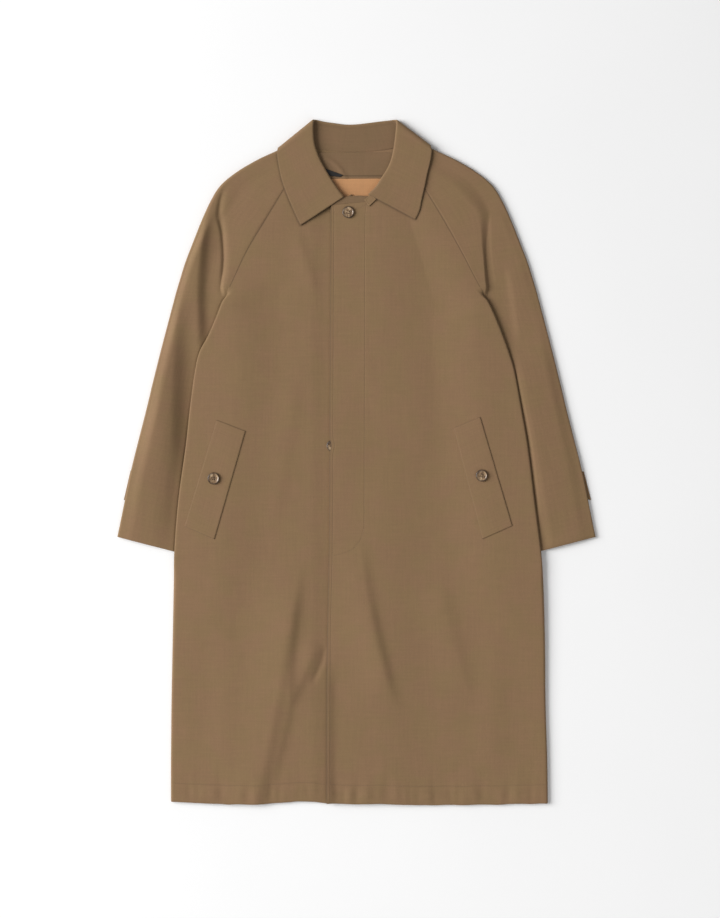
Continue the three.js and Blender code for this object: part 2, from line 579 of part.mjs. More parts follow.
const STEP_REACH = 5;             // half width of the step beside the body
const SOFT_STEP = 0.3;            // half its share of the section where the step has no depth
const STEP_START_Y = 467;         // above this the sleeve comes down without a step line
const STEP_SHARE = 0.62;          // and the middle of the slope lies at this share
const LEAST_STEP_SHARE = 0.08;
const MOST_STEP_SHARE = 0.7;
const CLEAR_STEP_SHARE = 0.76;    // most of the section at which the step has ended
const FIRST_SHARE = 0.04;         // least share of the column before the step
const FOLD_SLOPE_START = 0.45;    // share from which the layer runs to the height of its outer fold
const EASE_IN = 0.15;             // share over which folds rise from the inner edge
const EASE_OUT = 0.72;            // share from which they die away to the outer fold
const ARM_COLUMNS = 7;
const TURN_COLUMNS = 4;
const UNDER_COLUMNS = 5;

// One section of a sleeve: upper layer from the inner edge out, round the fold and back under
function sleeveSection(side, section, index) {
  const sign = signOf(side);
  const raglan = index < RAGLAN_SECTIONS;
  const innerX = raglan ? Math.abs(bodyEdge(side, section.innerY)) + SEAM : section.innerX;
  const inner = new THREE.Vector2(sign * innerX, section.innerY);
  const outer = new THREE.Vector2(sign * section.outerX, section.outerY);
  const length = inner.distanceTo(outer);
  const outward = outer.clone().sub(inner).normalize();
  const step = stepShare(side, section);
  const depth = section.innerY > ARMPIT_Y ? read(STEP_LINE, 'depth', section.innerY) : 1;
  const soft = lerp(SOFT_STEP, STEP_REACH / length, depth);
  const under = (x, y) => backHeight(x, y) + strapLift(x, y);
  const dive = smoothstep(ARMPIT_Y, ARMPIT_Y + ARMPIT_RAMP, section.innerY);
  const seamHeight = lerp(TUCKED_SLEEVE, frontHeight(side, inner.x, inner.y), dive);
  const arm = read(SLEEVE_HEIGHT[side], 'arm', section.innerY);
  const foldTop = read(SLEEVE_HEIGHT[side], 'fold', section.innerY);
  const bottom = under(outer.x - outward.x * TURN_INSET, outer.y);
  const radius = (foldTop - bottom) / 2;
  const points = [];
  const first = Math.max(step - soft, FIRST_SHARE);
  const clear = Math.min(step + soft, CLEAR_STEP_SHARE);
  const shares = [0, first / 2, first, step];
  const foldStart = 1 - (radius + HALF_CLOTH) / length;
  for (let j = 0; j < ARM_COLUMNS; j += 1) shares.push(lerp(clear, foldStart, j / ARM_COLUMNS));
  for (const share of shares) {
    const place = inner.clone().lerp(outer, share);
    const out = smoothstep(Math.max(step - soft, 0), clear, share);
    const ease = smoothstep(0, EASE_IN, share) * (1 - smoothstep(EASE_OUT, 1, share));
    const fold = foldHeight(SLEEVE_FOLDS, side, place.x, place.y) * out * ease;
    const level = lerp(arm, foldTop, smoothstep(FOLD_SLOPE_START, foldStart, share));
    points.push(new THREE.Vector3(place.x, place.y, lerp(seamHeight, level, out) + fold));
  }
  const centre = outer.clone().addScaledVector(outward, -radius - HALF_CLOTH);
  for (let k = 0; k <= TURN_COLUMNS; k += 1) {
    const angle = (Math.PI * k) / TURN_COLUMNS;
    const place = centre.clone().addScaledVector(outward, radius * Math.sin(angle));
    points.push(new THREE.Vector3(place.x, place.y, bottom + radius + radius * Math.cos(angle)));
  }
  const end = raglan ? backSeam(side, section) : inner.clone();
  for (let j = 1; j <= UNDER_COLUMNS; j += 1) {
    const place = centre.clone().lerp(end, j / UNDER_COLUMNS);
    points.push(new THREE.Vector3(place.x, place.y, under(place.x, place.y)));
  }
  return points;
}

function sleeve(side) {
  return sheet(SLEEVE_SECTIONS.map((section, index) => sleeveSection(side, section, index)), CLOTH);
}

// The turned edge of the collar: how far in from the roll and how far from stand to fall
const ROLL_TURN = [
  { inset: 3.6, rise: 0 },
  { inset: 1.3, rise: 0.14 },
  { inset: 0.8, rise: 0.5 },
  { inset: 1.6, rise: 0.88 },
  { inset: 4.5, rise: 1 },
];
const FALL_ROWS = 4;
const STAND_ROWS = 4;
const STAND_INSET = 4.1;          // the stand stops short of the turned edge
const STAND_OVER_Y = 525;         // above this the stand lies over the shoulder, clear of the fronts

const rollOf = (entry) => new THREE.Vector2(entry.rollX, entry.rollY);
const tipOf = (entry) => new THREE.Vector2(entry.tipX, entry.tipY);
const neckOf = (entry) => new THREE.Vector2(entry.neckX, entry.neckY);

// One section of the fall from the turned edge to the free edge
function fallSection(entry, stand, fall, edge) {
  const roll = rollOf(entry);
  const tip = tipOf(entry);
  const outward = tip.clone().sub(roll).normalize();
  const points = ROLL_TURN.map(({ inset, rise }) => {
    const place = roll.clone().addScaledVector(outward, inset);
    return new THREE.Vector3(place.x, place.y, lerp(stand, fall, rise));
  });
  const start = roll.addScaledVector(outward, ROLL_TURN[ROLL_TURN.length - 1].inset);
  for (let j = 1; j <= FALL_ROWS; j += 1) {
    const place = start.clone().lerp(tip, j / FALL_ROWS);
    points.push(new THREE.Vector3(place.x, place.y, lerp(fall, edge, j / FALL_ROWS)));
  }
  return points;
}

// Directions of a fold over one shoulder: along its straight line, and square to it
function foldFrame(fold) {
  const roll = rollOf(fold);
  const tip = tipOf(fold);
  const along = tip.clone().sub(roll).normalize();
  const outward = new THREE.Vector2(-along.y, along.x);
  if (outward.y < 0) outward.negate();
  return { roll, tip, along, outward };
}

// Direction in which a layer comes to a point of the fold line from the section beside it,
// as long as it is to go 1 mm square to the line
function approach(point, beside, outward) {
  const run = new THREE.Vector2(point.x - beside.x, point.y - beside.y);
  return run.divideScalar(run.dot(outward));
}

// The upper layer's direction on the way to the fold's edge, the lower one's on the way back
function approachAt(angle, upper, lower) {
  const share = THREE.MathUtils.clamp(angle / (Math.PI / 2) - 0.5, 0, 1);
  return upper.clone().lerp(lower, share);
}

// Sections of the fall round the fold over one shoulder, top layer first
function fallFold(fold, above, below) {
  const { roll, tip, along, outward } = foldFrame(fold);
  const depth = FALL_FOLD.radius + HALF_CLOTH;
  const first = ROLL_TURN[ROLL_TURN.length - 1].inset;
  const reach = roll.distanceTo(tip) - first;
  const stations = ROLL_TURN.map(({ inset, rise }) => ({ inset, rise }));
  for (let j = 1; j <= FALL_ROWS; j += 1) stations.push({ inset: first + (reach * j) / FALL_ROWS, rise: 1 });
  const sections = [];
  for (let k = 0; k <= FOLD_STEPS; k += 1) {
    const angle = (Math.PI * k) / FOLD_STEPS;
    sections.push(stations.map(({ inset, rise }, i) => {
      const radius = lerp(STAND_FOLD.radius, FALL_FOLD.radius, rise);
      const middle = lerp(STAND_FOLD.middle, FALL_FOLD.middle, rise);
      const place = roll.clone().addScaledVector(along, inset);
      const way = approachAt(angle, approach(place, above[i], outward), approach(place, below[i], outward));
      place.addScaledVector(way, radius * Math.sin(angle) - depth);
      return new THREE.Vector3(place.x, place.y, middle + radius * Math.cos(angle));
    }));
  }
  return sections;
}

function collarFall() {
  const stand = STAND_FOLD.middle - STAND_FOLD.radius;
  const side = (entry) => fallSection(entry, entry.stand, entry.fall, entry.edge);
  const back = (entry) => fallSection(entry, stand, FLOOR_LAYER, FLOOR_LAYER);
  const right = RIGHT_COLLAR.map(side);
  const left = LEFT_COLLAR.map(side);
  const behind = BACK_COLLAR.map(back);
  return sheet([
    ...right,
    ...fallFold(RIGHT_FOLD, right[right.length - 1], behind[0]),
    ...behind,
    ...fallFold(LEFT_FOLD, left[left.length - 1], behind[behind.length - 1]).reverse(),
    ...left.reverse(),
  ], CLOTH);
}

// One section of the stand from the neck seam up to the turned edge
function standSection(entry, neckHeight, rollHeight) {
  const roll = rollOf(entry);
  const neck = neckOf(entry);
  const towards = roll.clone().sub(neck).normalize();
  const end = entry.tipX === undefined
    ? roll
    : roll.clone().addScaledVector(tipOf(entry).sub(roll).normalize(), STAND_INSET);
  const start = neck.clone().addScaledVector(towards, 4 * SEAM);
  const points = [];
  for (let j = 0; j < STAND_ROWS; j += 1) {
    const share = j / (STAND_ROWS - 1);
    const place = start.clone().lerp(end, share);
    points.push(new THREE.Vector3(place.x, place.y, lerp(neckHeight, rollHeight, share)));
  }
  return points;
}

// Sections of the stand round the fold, top layer first: at the roll it keeps to the fall
function standFold(fold, above, below) {
  const { roll, along, outward } = foldFrame(fold);
  const edge = roll.clone().addScaledVector(along, STAND_FOLD.inset);
  const depth = FALL_FOLD.radius + HALF_CLOTH;
  const sections = [];
  for (let k = 0; k <= FOLD_STEPS; k += 1) {
    const angle = (Math.PI * k) / FOLD_STEPS;
    const height = STAND_FOLD.middle + STAND_FOLD.radius * Math.cos(angle);
    const out = STAND_FOLD.radius * Math.sin(angle);
    const way = approachAt(angle, approach(edge, above, outward), approach(edge, below, outward));
    const top = edge.clone().addScaledVector(way, out - depth);
    const neck = neckOf(fold).addScaledVector(outward, out);
    const points = [];
    for (let j = 0; j < STAND_ROWS; j += 1) {
      const place = neck.clone().lerp(top, j / (STAND_ROWS - 1));
      points.push(new THREE.Vector3(place.x, place.y, height));
    }
    sections.push(points);
  }
  return sections;
}

function collarStand() {
  const low = STAND_FOLD.middle - STAND_FOLD.radius;
  const frontNeck = (side, entry) => (entry.neckY > STAND_OVER_Y
    ? STAND_FOLD.middle + STAND_FOLD.radius
    : frontHeight(side, entry.neckX, entry.neckY));
  const onSide = (side) => (entry) => standSection(entry, frontNeck(side, entry), entry.stand);
  const right = [...RIGHT_STAND_END, ...RIGHT_COLLAR].map(onSide('right'));
  const left = [...LEFT_STAND_END, ...LEFT_COLLAR].map(onSide('left'));
  const behind = BACK_COLLAR.map((entry) => standSection(entry, low, low));
  const atRoll = (sections, index) => sections[index][STAND_ROWS - 1];
  return sheet([
    ...right,
    ...standFold(RIGHT_FOLD, atRoll(right, right.length - 1), atRoll(behind, 0)),
    ...behind,
    ...standFold(LEFT_FOLD, atRoll(left, left.length - 1), atRoll(behind, behind.length - 1)).reverse(),
    ...left.reverse(),
  ], CLOTH);
}

// A patch between four corners, at the height given for each point
function patch(corners, height, columns, rows, thickness) {
  const [a, b, c, d] = corners.map(([x, y]) => new THREE.Vector2(x, y));
  const grid = [];
  for (let i = 0; i <= rows; i += 1) {
    const start = a.clone().lerp(d, i / rows);
    const end = b.clone().lerp(c, i / rows);
    const row = [];
    for (let j = 0; j <= columns; j += 1) {
      const place = start.clone().lerp(end, j / columns);
      row.push(new THREE.Vector3(place.x, place.y, height(place.x, place.y)));
    }
    grid.push(row);
  }
  return sheet(grid, thickness);
}

function solidOf(geometry) {
  const merged = geometry.clone();
  merged.deleteAttribute('normal');
  merged.deleteAttribute('uv');
  const joined = mergeVertices(merged, 1e-4);
  return new wasm.Manifold(new wasm.Mesh({
    numProp: 3,
    vertProperties: new Float32Array(joined.attributes.position.array),
    triVerts: new Uint32Array(joined.index.array),
  }));
}

function geometryOf(solid) {
  const mesh = solid.getMesh();
  const geometry = new THREE.BufferGeometry();
  geometry.setAttribute('position', new THREE.BufferAttribute(new Float32Array(mesh.vertProperties), 3));
  geometry.setIndex(new THREE.BufferAttribute(new Uint32Array(mesh.triVerts), 1));
  return geometry;
}

// Section of a button: radius and height of its outline, its back on z = 0
const BUTTON_PROFILE = [[0, 0], [8.6, 0], [BUTTON_RADIUS, 1.1], [10.0, 2.8], [8.9, 3.2], [7.2, 2.3], [0, 2.0]];
const BUTTON_SPOKES = 18;
const HOLE_RADIUS = 1;
const HOLE_OFFSET = 1.9;          // of each thread hole from the middle, both ways
const HOLE_SPOKES = 6;
const DRILL_LENGTH = 10;

// A dished horn button with a raised rim and four thread holes
function button() {
  const profile = BUTTON_PROFILE.map(([radius, z]) => new THREE.Vector2(radius, z));
  const disc = new THREE.LatheGeometry(profile, BUTTON_SPOKES);
  disc.rotateX(Math.PI / 2);
  let solid = solidOf(disc);
  for (const [x, y] of [[-1, -1], [1, -1], [1, 1], [-1, 1]]) {
    const drill = new THREE.CylinderGeometry(HOLE_RADIUS, HOLE_RADIUS, DRILL_LENGTH, HOLE_SPOKES);
    drill.rotateX(Math.PI / 2);
    drill.translate(x * HOLE_OFFSET, y * HOLE_OFFSET, 0);
    solid = solid.subtract(solidOf(drill));
  }
  return geometryOf(solid);
}

const coat = new THREE.Group();

function add(name, geometry, color, roughness) {
  const mesh = new THREE.Mesh(geometry, new THREE.MeshStandardMaterial({ color, roughness, metalness: 0 }));
  mesh.name = name;
  coat.add(mesh);
  return mesh;
}

const addCloth = (name, geometry) => add(name, geometry, COAT_COLOUR, CLOTH_ROUGHNESS);

// Sets a button on the surface whose middle height is given, at that distance along its normal
function addButton(name, place, height, above) {
  const mesh = add(name, button(), BUTTON_COLOUR, HORN_ROUGHNESS);
  const reach = BUTTON_RADIUS;
  const slopeX = (height(place.x + reach, place.y) - height(place.x - reach, place.y)) / (2 * reach);
  const slopeY = (height(place.x, place.y + reach) - height(place.x, place.y - reach)) / (2 * reach);
  const normal = new THREE.Vector3(-slopeX, -slopeY, 1).normalize();
  mesh.quaternion.setFromUnitVectors(new THREE.Vector3(0, 0, 1), normal);
  mesh.position.set(place.x, place.y, height(place.x, place.y)).addScaledVector(normal, above);
  return mesh;
}

addCloth('back_panel', backPanel());
addCloth('front_right', frontPanel('right'));
addCloth('front_left', frontPanel('left'));
addCloth('sleeve_right', sleeve('right'));
addCloth('sleeve_left', sleeve('left'));
addCloth('collar_fall', collarFall());
addCloth('collar_stand', collarStand());

// Small pieces by their corners, upper right corner of the coat first
const FLY_FACING = [[-43, 400], [12, 400], [10, -128], [-46, -160]];
const NECK_FACING = [[-78, 530.5], [78, 530.5], [62, 486.6], [-62, 486.6]];
const LINING = [[-70, 486], [70, 486], [70, 424], [-70, 424]];
const NECK_LABEL = [[-65, 507], [-24, 492], [-28, 489], [-69, 495]];
const STAND_END = [[14, 449], [25, 459], [33.5, 450], [21.5, 438.5]];
const LABEL_GAP = 0.4;            // space under the label
const STAND_END_LAYER = 10.35;    // middle of the stand's small end

addCloth('fly_facing', patch(FLY_FACING, () => FACING_LAYER, 2, 8, CLOTH));

const facingHeight = (x, y) => backHeight(x, y) + CLOTH + LAYER_GAP;
addCloth('neck_facing', patch(NECK_FACING, facingHeight, 8, 5, CLOTH));
const liningHeight = (x, y) => backHeight(x, y) + HALF_CLOTH + LAYER_GAP + THIN_CLOTH / 2;
add('lining', patch(LINING, liningHeight, 4, 5, THIN_CLOTH), LINING_COLOUR, SATIN_ROUGHNESS);
const labelHeight = (x, y) => facingHeight(x, y) + HALF_CLOTH + LABEL_GAP + THIN_CLOTH / 2;
add('neck_label', patch(NECK_LABEL, labelHeight, 4, 1, THIN_CLOTH), LABEL_COLOUR, SATIN_ROUGHNESS);
addCloth('stand_end', patch(STAND_END, () => STAND_END_LAYER, 1, 1, THIN_CLOTH));

for (const { name, side, corners } of WELTS) {
  addCloth(name, patch(corners, (x, y) => frontHeight(side, x, y) + WELT_LAYER, 4, 10, CLOTH));
}
for (const { name, corners } of CUFF_STRAPS) {
  addCloth(name, patch(corners, () => FLOOR_LAYER, 1, 1, CLOTH));
}

const BUTTON_SEAT = HALF_CLOTH + LAYER_GAP;
const onFront = (side) => (x, y) => frontHeight(side, x, y);
addButton('button_neck', NECK_BUTTON, onFront('left'), BUTTON_SEAT);
addButton('button_fly', FLY_BUTTON, () => FACING_LAYER, BUTTON_SEAT).scale.z = FLY_BUTTON_FLATTER;
addButton('button_welt_right', RIGHT_WELT_BUTTON, onFront('right'), WELT_LAYER + BUTTON_SEAT);
addButton('button_welt_left', LEFT_WELT_BUTTON, onFront('left'), WELT_LAYER + BUTTON_SEAT);

export default coat;
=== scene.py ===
"""The looks of a raglan overcoat with a fly front, laid flat on its back.

The tables are in millimetres, as a tailor measures, and make() turns what they give into metres.
"right" and "left" are the wearer's, so the right side has negative x.
"""

import math

import bpy
import numpy as np
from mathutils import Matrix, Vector
from mathutils.bvhtree import BVHTree


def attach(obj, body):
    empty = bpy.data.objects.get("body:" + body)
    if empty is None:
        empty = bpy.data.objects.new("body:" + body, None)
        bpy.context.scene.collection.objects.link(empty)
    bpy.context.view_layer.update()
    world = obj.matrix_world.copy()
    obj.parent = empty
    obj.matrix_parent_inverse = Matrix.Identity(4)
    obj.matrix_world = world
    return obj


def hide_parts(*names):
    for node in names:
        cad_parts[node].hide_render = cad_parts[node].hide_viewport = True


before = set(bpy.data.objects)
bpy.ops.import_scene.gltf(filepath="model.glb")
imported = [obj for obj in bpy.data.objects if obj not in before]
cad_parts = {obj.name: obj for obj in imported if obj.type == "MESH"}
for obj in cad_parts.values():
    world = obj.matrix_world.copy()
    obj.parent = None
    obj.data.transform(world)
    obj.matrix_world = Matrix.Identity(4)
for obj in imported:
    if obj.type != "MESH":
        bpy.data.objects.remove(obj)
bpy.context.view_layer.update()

MM = 0.001
SIGN = {"right": -1, "left": 1}
SIDES = ("right", "left")

# Driving sizes of the coat. They are the solids' own, apart from SEAM, the rise over the fly button,
# STEP_REACH and ARMPIT_TUCK, which close the seams and make the soft forms finer.
CLOTH = 1.5
HALF_CLOTH = CLOTH / 2
THIN_CLOTH = 1.0
SEAM = 0.05
LAYER_GAP = 0.5
FLOOR_LAYER = HALF_CLOTH
NECK_LIFT = 2.1
SLEEVE_LIFT = 5.0
FRONT_LAYER = 5.75
UNDERLAP_LAYER = 4.5
FACING_LAYER = 6.6
OVERLAP_LAYER = 8.7
TUCKED_SLEEVE = 3.25
OVERLAP_X = 32
OVERLAP_END_X = 140
UNDERLAP_START_X = -80
FLY_BUTTON_RISE = 1.7
FLY_BUTTON_FEET = (6, 80)
FLY_BUTTON_STRETCH = 0.6
RIM_FLAT = 8
RIM_SLOPE = 90
ARMPIT_Y = 274
ARMPIT_RAMP = 26
CUFF_Y = -172
CUFF_RAMP = 30
STRIP_END_Y = -400
BACK_HEM_Y = -583
NECK_ROW = 450
TOP_ROW = 519
HEM_ROW = -588
HEM_FLARE = 38
WRAP_TAIL = 3
FIRST_TURN = 0.4
STEP_REACH = 3.6
ARMPIT_TUCK = 6


def rows(columns, *values):
    """A table with named columns, one tuple a row."""
    return dict(zip(columns.split(), np.array(values, float).T))


BODY_EDGE = rows(
    "y right left",
    (519, 96, 88), (500, 106, 98), (469, 124, 117), (416, 156, 149), (361, 189, 180),
    (315, 211, 204), (287, 224, 219), (274, 231, 227), (251, 240, 238), (216, 255, 252),
    (188, 270, 262), (159, 277, 271), (94, 286, 283), (30, 293, 294), (-66, 306, 306),
    (-154, 313, 317), (-204, 314, 321), (-307, 316, 324), (-410, 318, 325), (-513, 319, 328),
    (-590, 319, 329),
)
NECK_EDGE = rows(
    "y right left",
    (519, 92.5, 84.5), (500, 87, 80), (481, 78, 77), (462, 64, 65), (450, 50, 50),
)
FRONT_EDGE = rows("y x", (440, -44), (278, -45), (27, -46), (-152, -47), (-307, -50), (-590, -51))
HEM = rows(
    "x y",
    (-320, -584), (-180, -589), (-97, -584), (-51, -587), (75, -589), (195, -590), (330, -587),
)
RIM_HEIGHT = rows(
    "y right left",
    (519, 8.9, 8.9), (440, 8.0, 9.0), (380, 7.4, 9.0), (330, 7.4, 9.4), (300, 9.4, 10.2),
    (274, 11.0, 11.2), (200, 10.6, 10.8), (100, 10.2, 10.2), (-120, 10.0, 10.0), (-200, 9.3, 9.3),
    (-400, 7.0, 7.0), (-590, 6.4, 6.4),
)
SLEEVE_SECTIONS = rows(
    "inner_x inner_y outer_x outer_y",
    (96, 519, 105, 550), (106, 500, 137, 534), (117, 481, 171, 518), (128, 462, 205, 498),
    (141, 440, 233, 475), (156, 416, 250, 449), (172, 389, 267, 412), (189, 361, 282, 374),
    (204, 330, 294, 343), (217, 302, 304, 311), (224, 288, 310, 291), (231, 274, 315, 272),
    (229, 240, 324, 238), (230, 190, 336, 192), (232, 130, 349, 140), (237, 70, 361, 90),
    (243, 5, 375, 35), (249, -60, 389, -22), (255, -115, 400, -76), (261, -168, 411, -129),
)
SLEEVE_HEIGHT = {
    "right": rows(
        "y arm fold",
        (519, 8.8, 8.8), (481, 8.0, 8.8), (440, 7.2, 9.6), (389, 6.4, 9.8), (330, 6.2, 8.8), (302, 5.6, 8.0),
        (274, 4.2, 7.6), (230, 3.7, 7.6), (130, 3.7, 9.6), (60, 3.7, 10.2), (-60, 3.7, 9.0), (-168, 3.7, 7.4),
    ),
    "left": rows(
        "y arm fold",
        (519, 8.8, 8.8), (481, 7.4, 7.4), (440, 5.8, 5.8), (389, 5.2, 5.2), (330, 4.8, 5.0),
        (274, 4.0, 5.0), (-115, 3.8, 5.0), (-168, 3.8, 4.8),
    ),
}
RAGLAN_SECTIONS = 12
BACK_SEAM_SHIFT = (24, 19)
# Where a sleeve steps down beside the body, on the left a little further out than the solid's step
STEP_LINE = rows(
    "y right left depth",
    (477, 222, 224, 0), (427, 235, 223, 0.4), (395, 229, 223, 0.8), (350, 226, 226, 1),
    (309, 230, 229, 1), (276, 233, 232, 1),
)
COLLAR = {
    "right": rows(
        "roll_x roll_y tip_x tip_y neck_x neck_y fall edge stand",
        (-21, 455, -96, 406, -44, 450.2, 11.6, 8.8, 5.6),
        (-34, 472, -105, 425, -64, 462, 11.4, 9.8, 6.4),
        (-46, 490, -113, 443, -78, 481, 11.5, 10.8, 7.6),
        (-56, 507, -121, 463, -87, 500, 11.7, 11.2, 8.6),
        (-65, 525, -128, 483, -91, 520, 12.0, 11.6, 9.0),
        (-72, 547, -133, 506, -98.5, 534, 12.0, 11.8, 9.0),
        (-74, 568, -136, 526, -101.5, 543, 12.0, 12.0, 9.0),
    ),
    "left": rows(
        "roll_x roll_y tip_x tip_y neck_x neck_y fall edge stand",
        (20, 459, 101, 416, 50, 450, 12.4, 9.4, 8.8),
        (33, 472, 108, 431, 65, 462, 12.2, 10.4, 8.6),
        (43, 488, 112, 451, 77, 481, 12.0, 11.4, 8.8),
        (52, 502, 117, 473, 80, 500, 12.0, 12.0, 9.0),
        (59, 518, 121, 493, 83, 520, 12.0, 12.2, 9.0),
        (64, 541, 126, 513, 91, 534, 12.0, 12.2, 9.0),
        (67, 566, 129, 532, 97, 543, 12.0, 12.0, 9.0),
    ),
}
STAND_END = {
    "right": rows("roll_x roll_y neck_x neck_y stand", (-8, 459, -14, 446, 5.4)),
    "left": rows(
        "roll_x roll_y neck_x neck_y stand",
        (-42, 450, -44, 440, 8.7), (-20, 454, -20, 442.6, 8.7), (0, 456, 0, 444.7, 8.7),
    ),
}
BACK_COLLAR = rows(
    "roll_x roll_y tip_x tip_y neck_x neck_y",
    (-56, 584.5, -106, 518, -84, 541), (-38, 582, -72, 510, -56, 535.5),
    (-18, 579.5, -34, 506, -27, 532.5), (0, 580, 0, 505, 0, 532), (18, 582, 34, 506, 27, 533),
    (36, 584.3, 70, 510, 53, 536.5), (54, 586.3, 102, 519, 78, 541.5),
)
FOLD_LINE = {
    "right": {"roll": (-73.8, 588.7), "tip": (-135, 539), "neck": (-102, 546.6)},
    "left": {"roll": (69, 588), "tip": (127, 544), "neck": (95, 546.6)},
}
FALL_FOLD = {"radius": 5.6, "middle": 6.35}
STAND_FOLD = {"radius": 3.1, "middle": 5.95, "inset": 5.6}
FOLD_STEPS = 6
ROLL_TURN = ((3.6, 0), (1.3, 0.14), (0.8, 0.5), (1.6, 0.88), (4.5, 1))
FALL_ROWS = 4
STAND_ROWS = 4
STAND_INSET = 4.1
STAND_OVER_Y = 525
STRAP_LIFT = 2.1
STRAP_CENTRE = (375, -36)

# Soft folds that run down the cloth: where the crest starts, passes and ends, its rise, and the widths
# of its flanks at smaller and at larger x; "open" folds run out over the free edge below
FRONT_FOLDS = {
    "right": (
        ((-108, 408), (-92, 350), (-66, 285), 1.0, 16, 10, "fades"),
        ((-104, 160), (-112, 60), (-160, -150), 1.0, 40, 18, "fades"),
        ((-96, -150), (-124, -340), (-176, -600), 3.2, 55, 15, "open"),
        ((-58, -300), (-92, -360), (-122, -432), 2.2, 22, 10, "fades"),
        ((-230, -210), (-222, -380), (-236, -560), 1.2, 26, 26, "fades"),
    ),
    "left": (
        ((98, 210), (112, 100), (100, -30), 0.8, 34, 30, "fades"),
        ((4, -120), (16, -290), (74, -450), 2.6, 42, 12, "fades"),
        ((138, -180), (152, -290), (198, -420), 1.4, 32, 16, "fades"),
        ((236, -260), (240, -400), (232, -560), 1.2, 26, 26, "fades"),
        ((-50, -320), (-51, -450), (-51, -600), 2.6, 10, 10, "open"),
    ),
}
SLEEVE_FOLDS = {
    "right": (
        ((-246, 452), (-290, 350), (-268, 150), 4.4, 45, 10, "fades"),
        ((-300, 300), (-332, 170), (-312, -60), 4.2, 55, 17, "fades"),
        ((-318, 150), (-350, -20), (-352, -168), 3.6, 80, 34, "open"),
    ),
    "left": (
        ((262, 345), (274, 280), (284, 190), 1.6, 8, 26, "fades"),
        ((268, 240), (308, 60), (343, -160), 3.4, 17, 80, "open"),
    ),
}
# Narrow creases that the solids leave out, each a line of points with its rise and flanks
CREASES = {
    "sleeve_right": (
        (((-226, 482), (-237, 427), (-231, 395), (-228, 350), (-231, 309), (-236, 280)), -2.4, 3.4, 6),
        (((-258, 430), (-266, 381), (-268, 329), (-271, 278), (-270, 226), (-272, 160)), 2.4, 34, 9),
        (((-303, 310), (-312, 240), (-315, 175), (-316, 123), (-318, 71), (-325, 0), (-332, -80),
          (-337, -160)), 1.6, 120, 16),
        (((-258, 210), (-278, 140), (-292, 30), (-307, -90), (-314, -170)), -1.8, 22, 7),
    ),
    "sleeve_left": (
        (((233, 445), (233, 395), (236, 340), (244, 290)), 0.7, 5, 45),
        (((260, 225), (268, 190), (284, 120), (299, 50), (313, -60), (321, -160)), 1.8, 4, 36),
    ),
    "front_right": (
        (((-98, -190), (-108, -260), (-116, -340), (-118, -420), (-135, -500), (-156, -572)), 1.8, 26, 9),
        (((-54, -312), (-58, -340), (-66, -360), (-78, -386)), -1.5, 5, 4),
    ),
    "front_left": (
        (((20, -230), (30, -285), (44, -340), (56, -400)), 1.2, 24, 9),
    ),
}

WELTS = {
    "right": ((-191, 52), (-240, 71), (-295, -111), (-244, -133)),
    "left": ((167, 57), (212, 76), (267, -110), (216, -133)),
}
CUFF_STRAPS = {
    "right": ((-388.5, -16), (-350, -6), (-362, -56), (-400, -66)),
    "left": ((391, -18), (350, -7), (362, -56), (403, -66)),
}
FLY_FACING = ((-43, 400), (12, 400), (10, -128), (-46, -160))
NECK_FACING = ((-78, 530.5), (78, 530.5), (62, 486.6), (-62, 486.6))
LINING_CORNERS = ((-70, 486), (70, 486), (70, 424), (-70, 424))
LABEL_CORNERS = ((-65, 507), (-24, 492), (-28, 489), (-69, 495))
END_CORNERS = ((14, 449), (25, 459), (33.5, 450), (21.5, 438.5))
NECK_BUTTON = (-14, 428)
FLY_BUTTON = (-41, 27)
WELT_BUTTON = {"right": (-245, -29), "left": (215, -24)}

# Lines of stitching
EDGE_STITCH = 5.5
HEM_STITCH = 32
# Where the neck facing dips, with a painted shadow line along it
FACING_LINE_Y = 490.8
FLY_LINE = ((22, 480), (15, 424), (14, 150), (13, -112), (7, -134), (-6, -150), (-24, -158), (-60, -166))
FAR = 99.0

# Lines that the cloth's material draws, with the width of each: three of stitching and line_shadow, a painted
# shadow line
LINES = {"line_edge": 0.75, "line_seam": 0.75, "line_hem": 0.8, "line_shadow": 1.1}
# Painted shadow beside an edge, or on a rim that faces the light: how fast it fades, and how faint it starts
COLLAR_SHADOW = (0.42, 0)
WELT_SHADOW = (1.3, 0.5)
SIDE_FOLD_SHADOW = (0.5, 0.75)
CLOSING_EDGE_SHADOW = (0.7, 0.2)
GAP_SHADOW = 0.6
GAP_SHADOW_Y = -330
GAP_SHADOW_FADE = 0.06
RIM_SHADOW = {"welt": (1, 0.8), "fall": (1, 0.6), "sleeve": (1, 0.5)}


def lerp(a, b, t):
    return a + (b - a) * t


def smoothstep(low, high, value):
    t = np.clip((np.asarray(value, float) - low) / (high - low), 0, 1)
    return t * t * (3 - 2 * t)


def curve(keys, values, at):
    """A smooth curve through values at rising keys, level beyond its ends."""
    slopes = np.empty_like(values)
    middle = (keys[2:] - keys[:-2]).reshape((-1,) + (1,) * (values.ndim - 1))
    slopes[1:-1] = (values[2:] - values[:-2]) / middle
    slopes[0] = (values[1] - values[0]) / (keys[1] - keys[0])
    slopes[-1] = (values[-1] - values[-2]) / (keys[-1] - keys[-2])
    at = np.clip(at, keys[0], keys[-1])
    i = np.clip(np.searchsorted(keys, at, side="right") - 1, 0, len(keys) - 2)
    span = keys[i + 1] - keys[i]
    t = (at - keys[i]) / span
    if values.ndim > 1:
        shape = t.shape + (1,) * (values.ndim - 1)
        t, span = t.reshape(shape), span.reshape(shape)
    return (
        (2 * t**3 - 3 * t**2 + 1) * values[i]
        + (t**3 - 2 * t**2 + t) * span * slopes[i]
        + (3 * t**2 - 2 * t**3) * values[i + 1]
        + (t**3 - t**2) * span * slopes[i + 1]
    )


def read(table, column, at, key="y"):
    keys, values = table[key], table[column]
    if keys[0] > keys[-1]:
        keys, values = keys[::-1], values[::-1]
    return curve(keys, values, np.asarray(at, float))


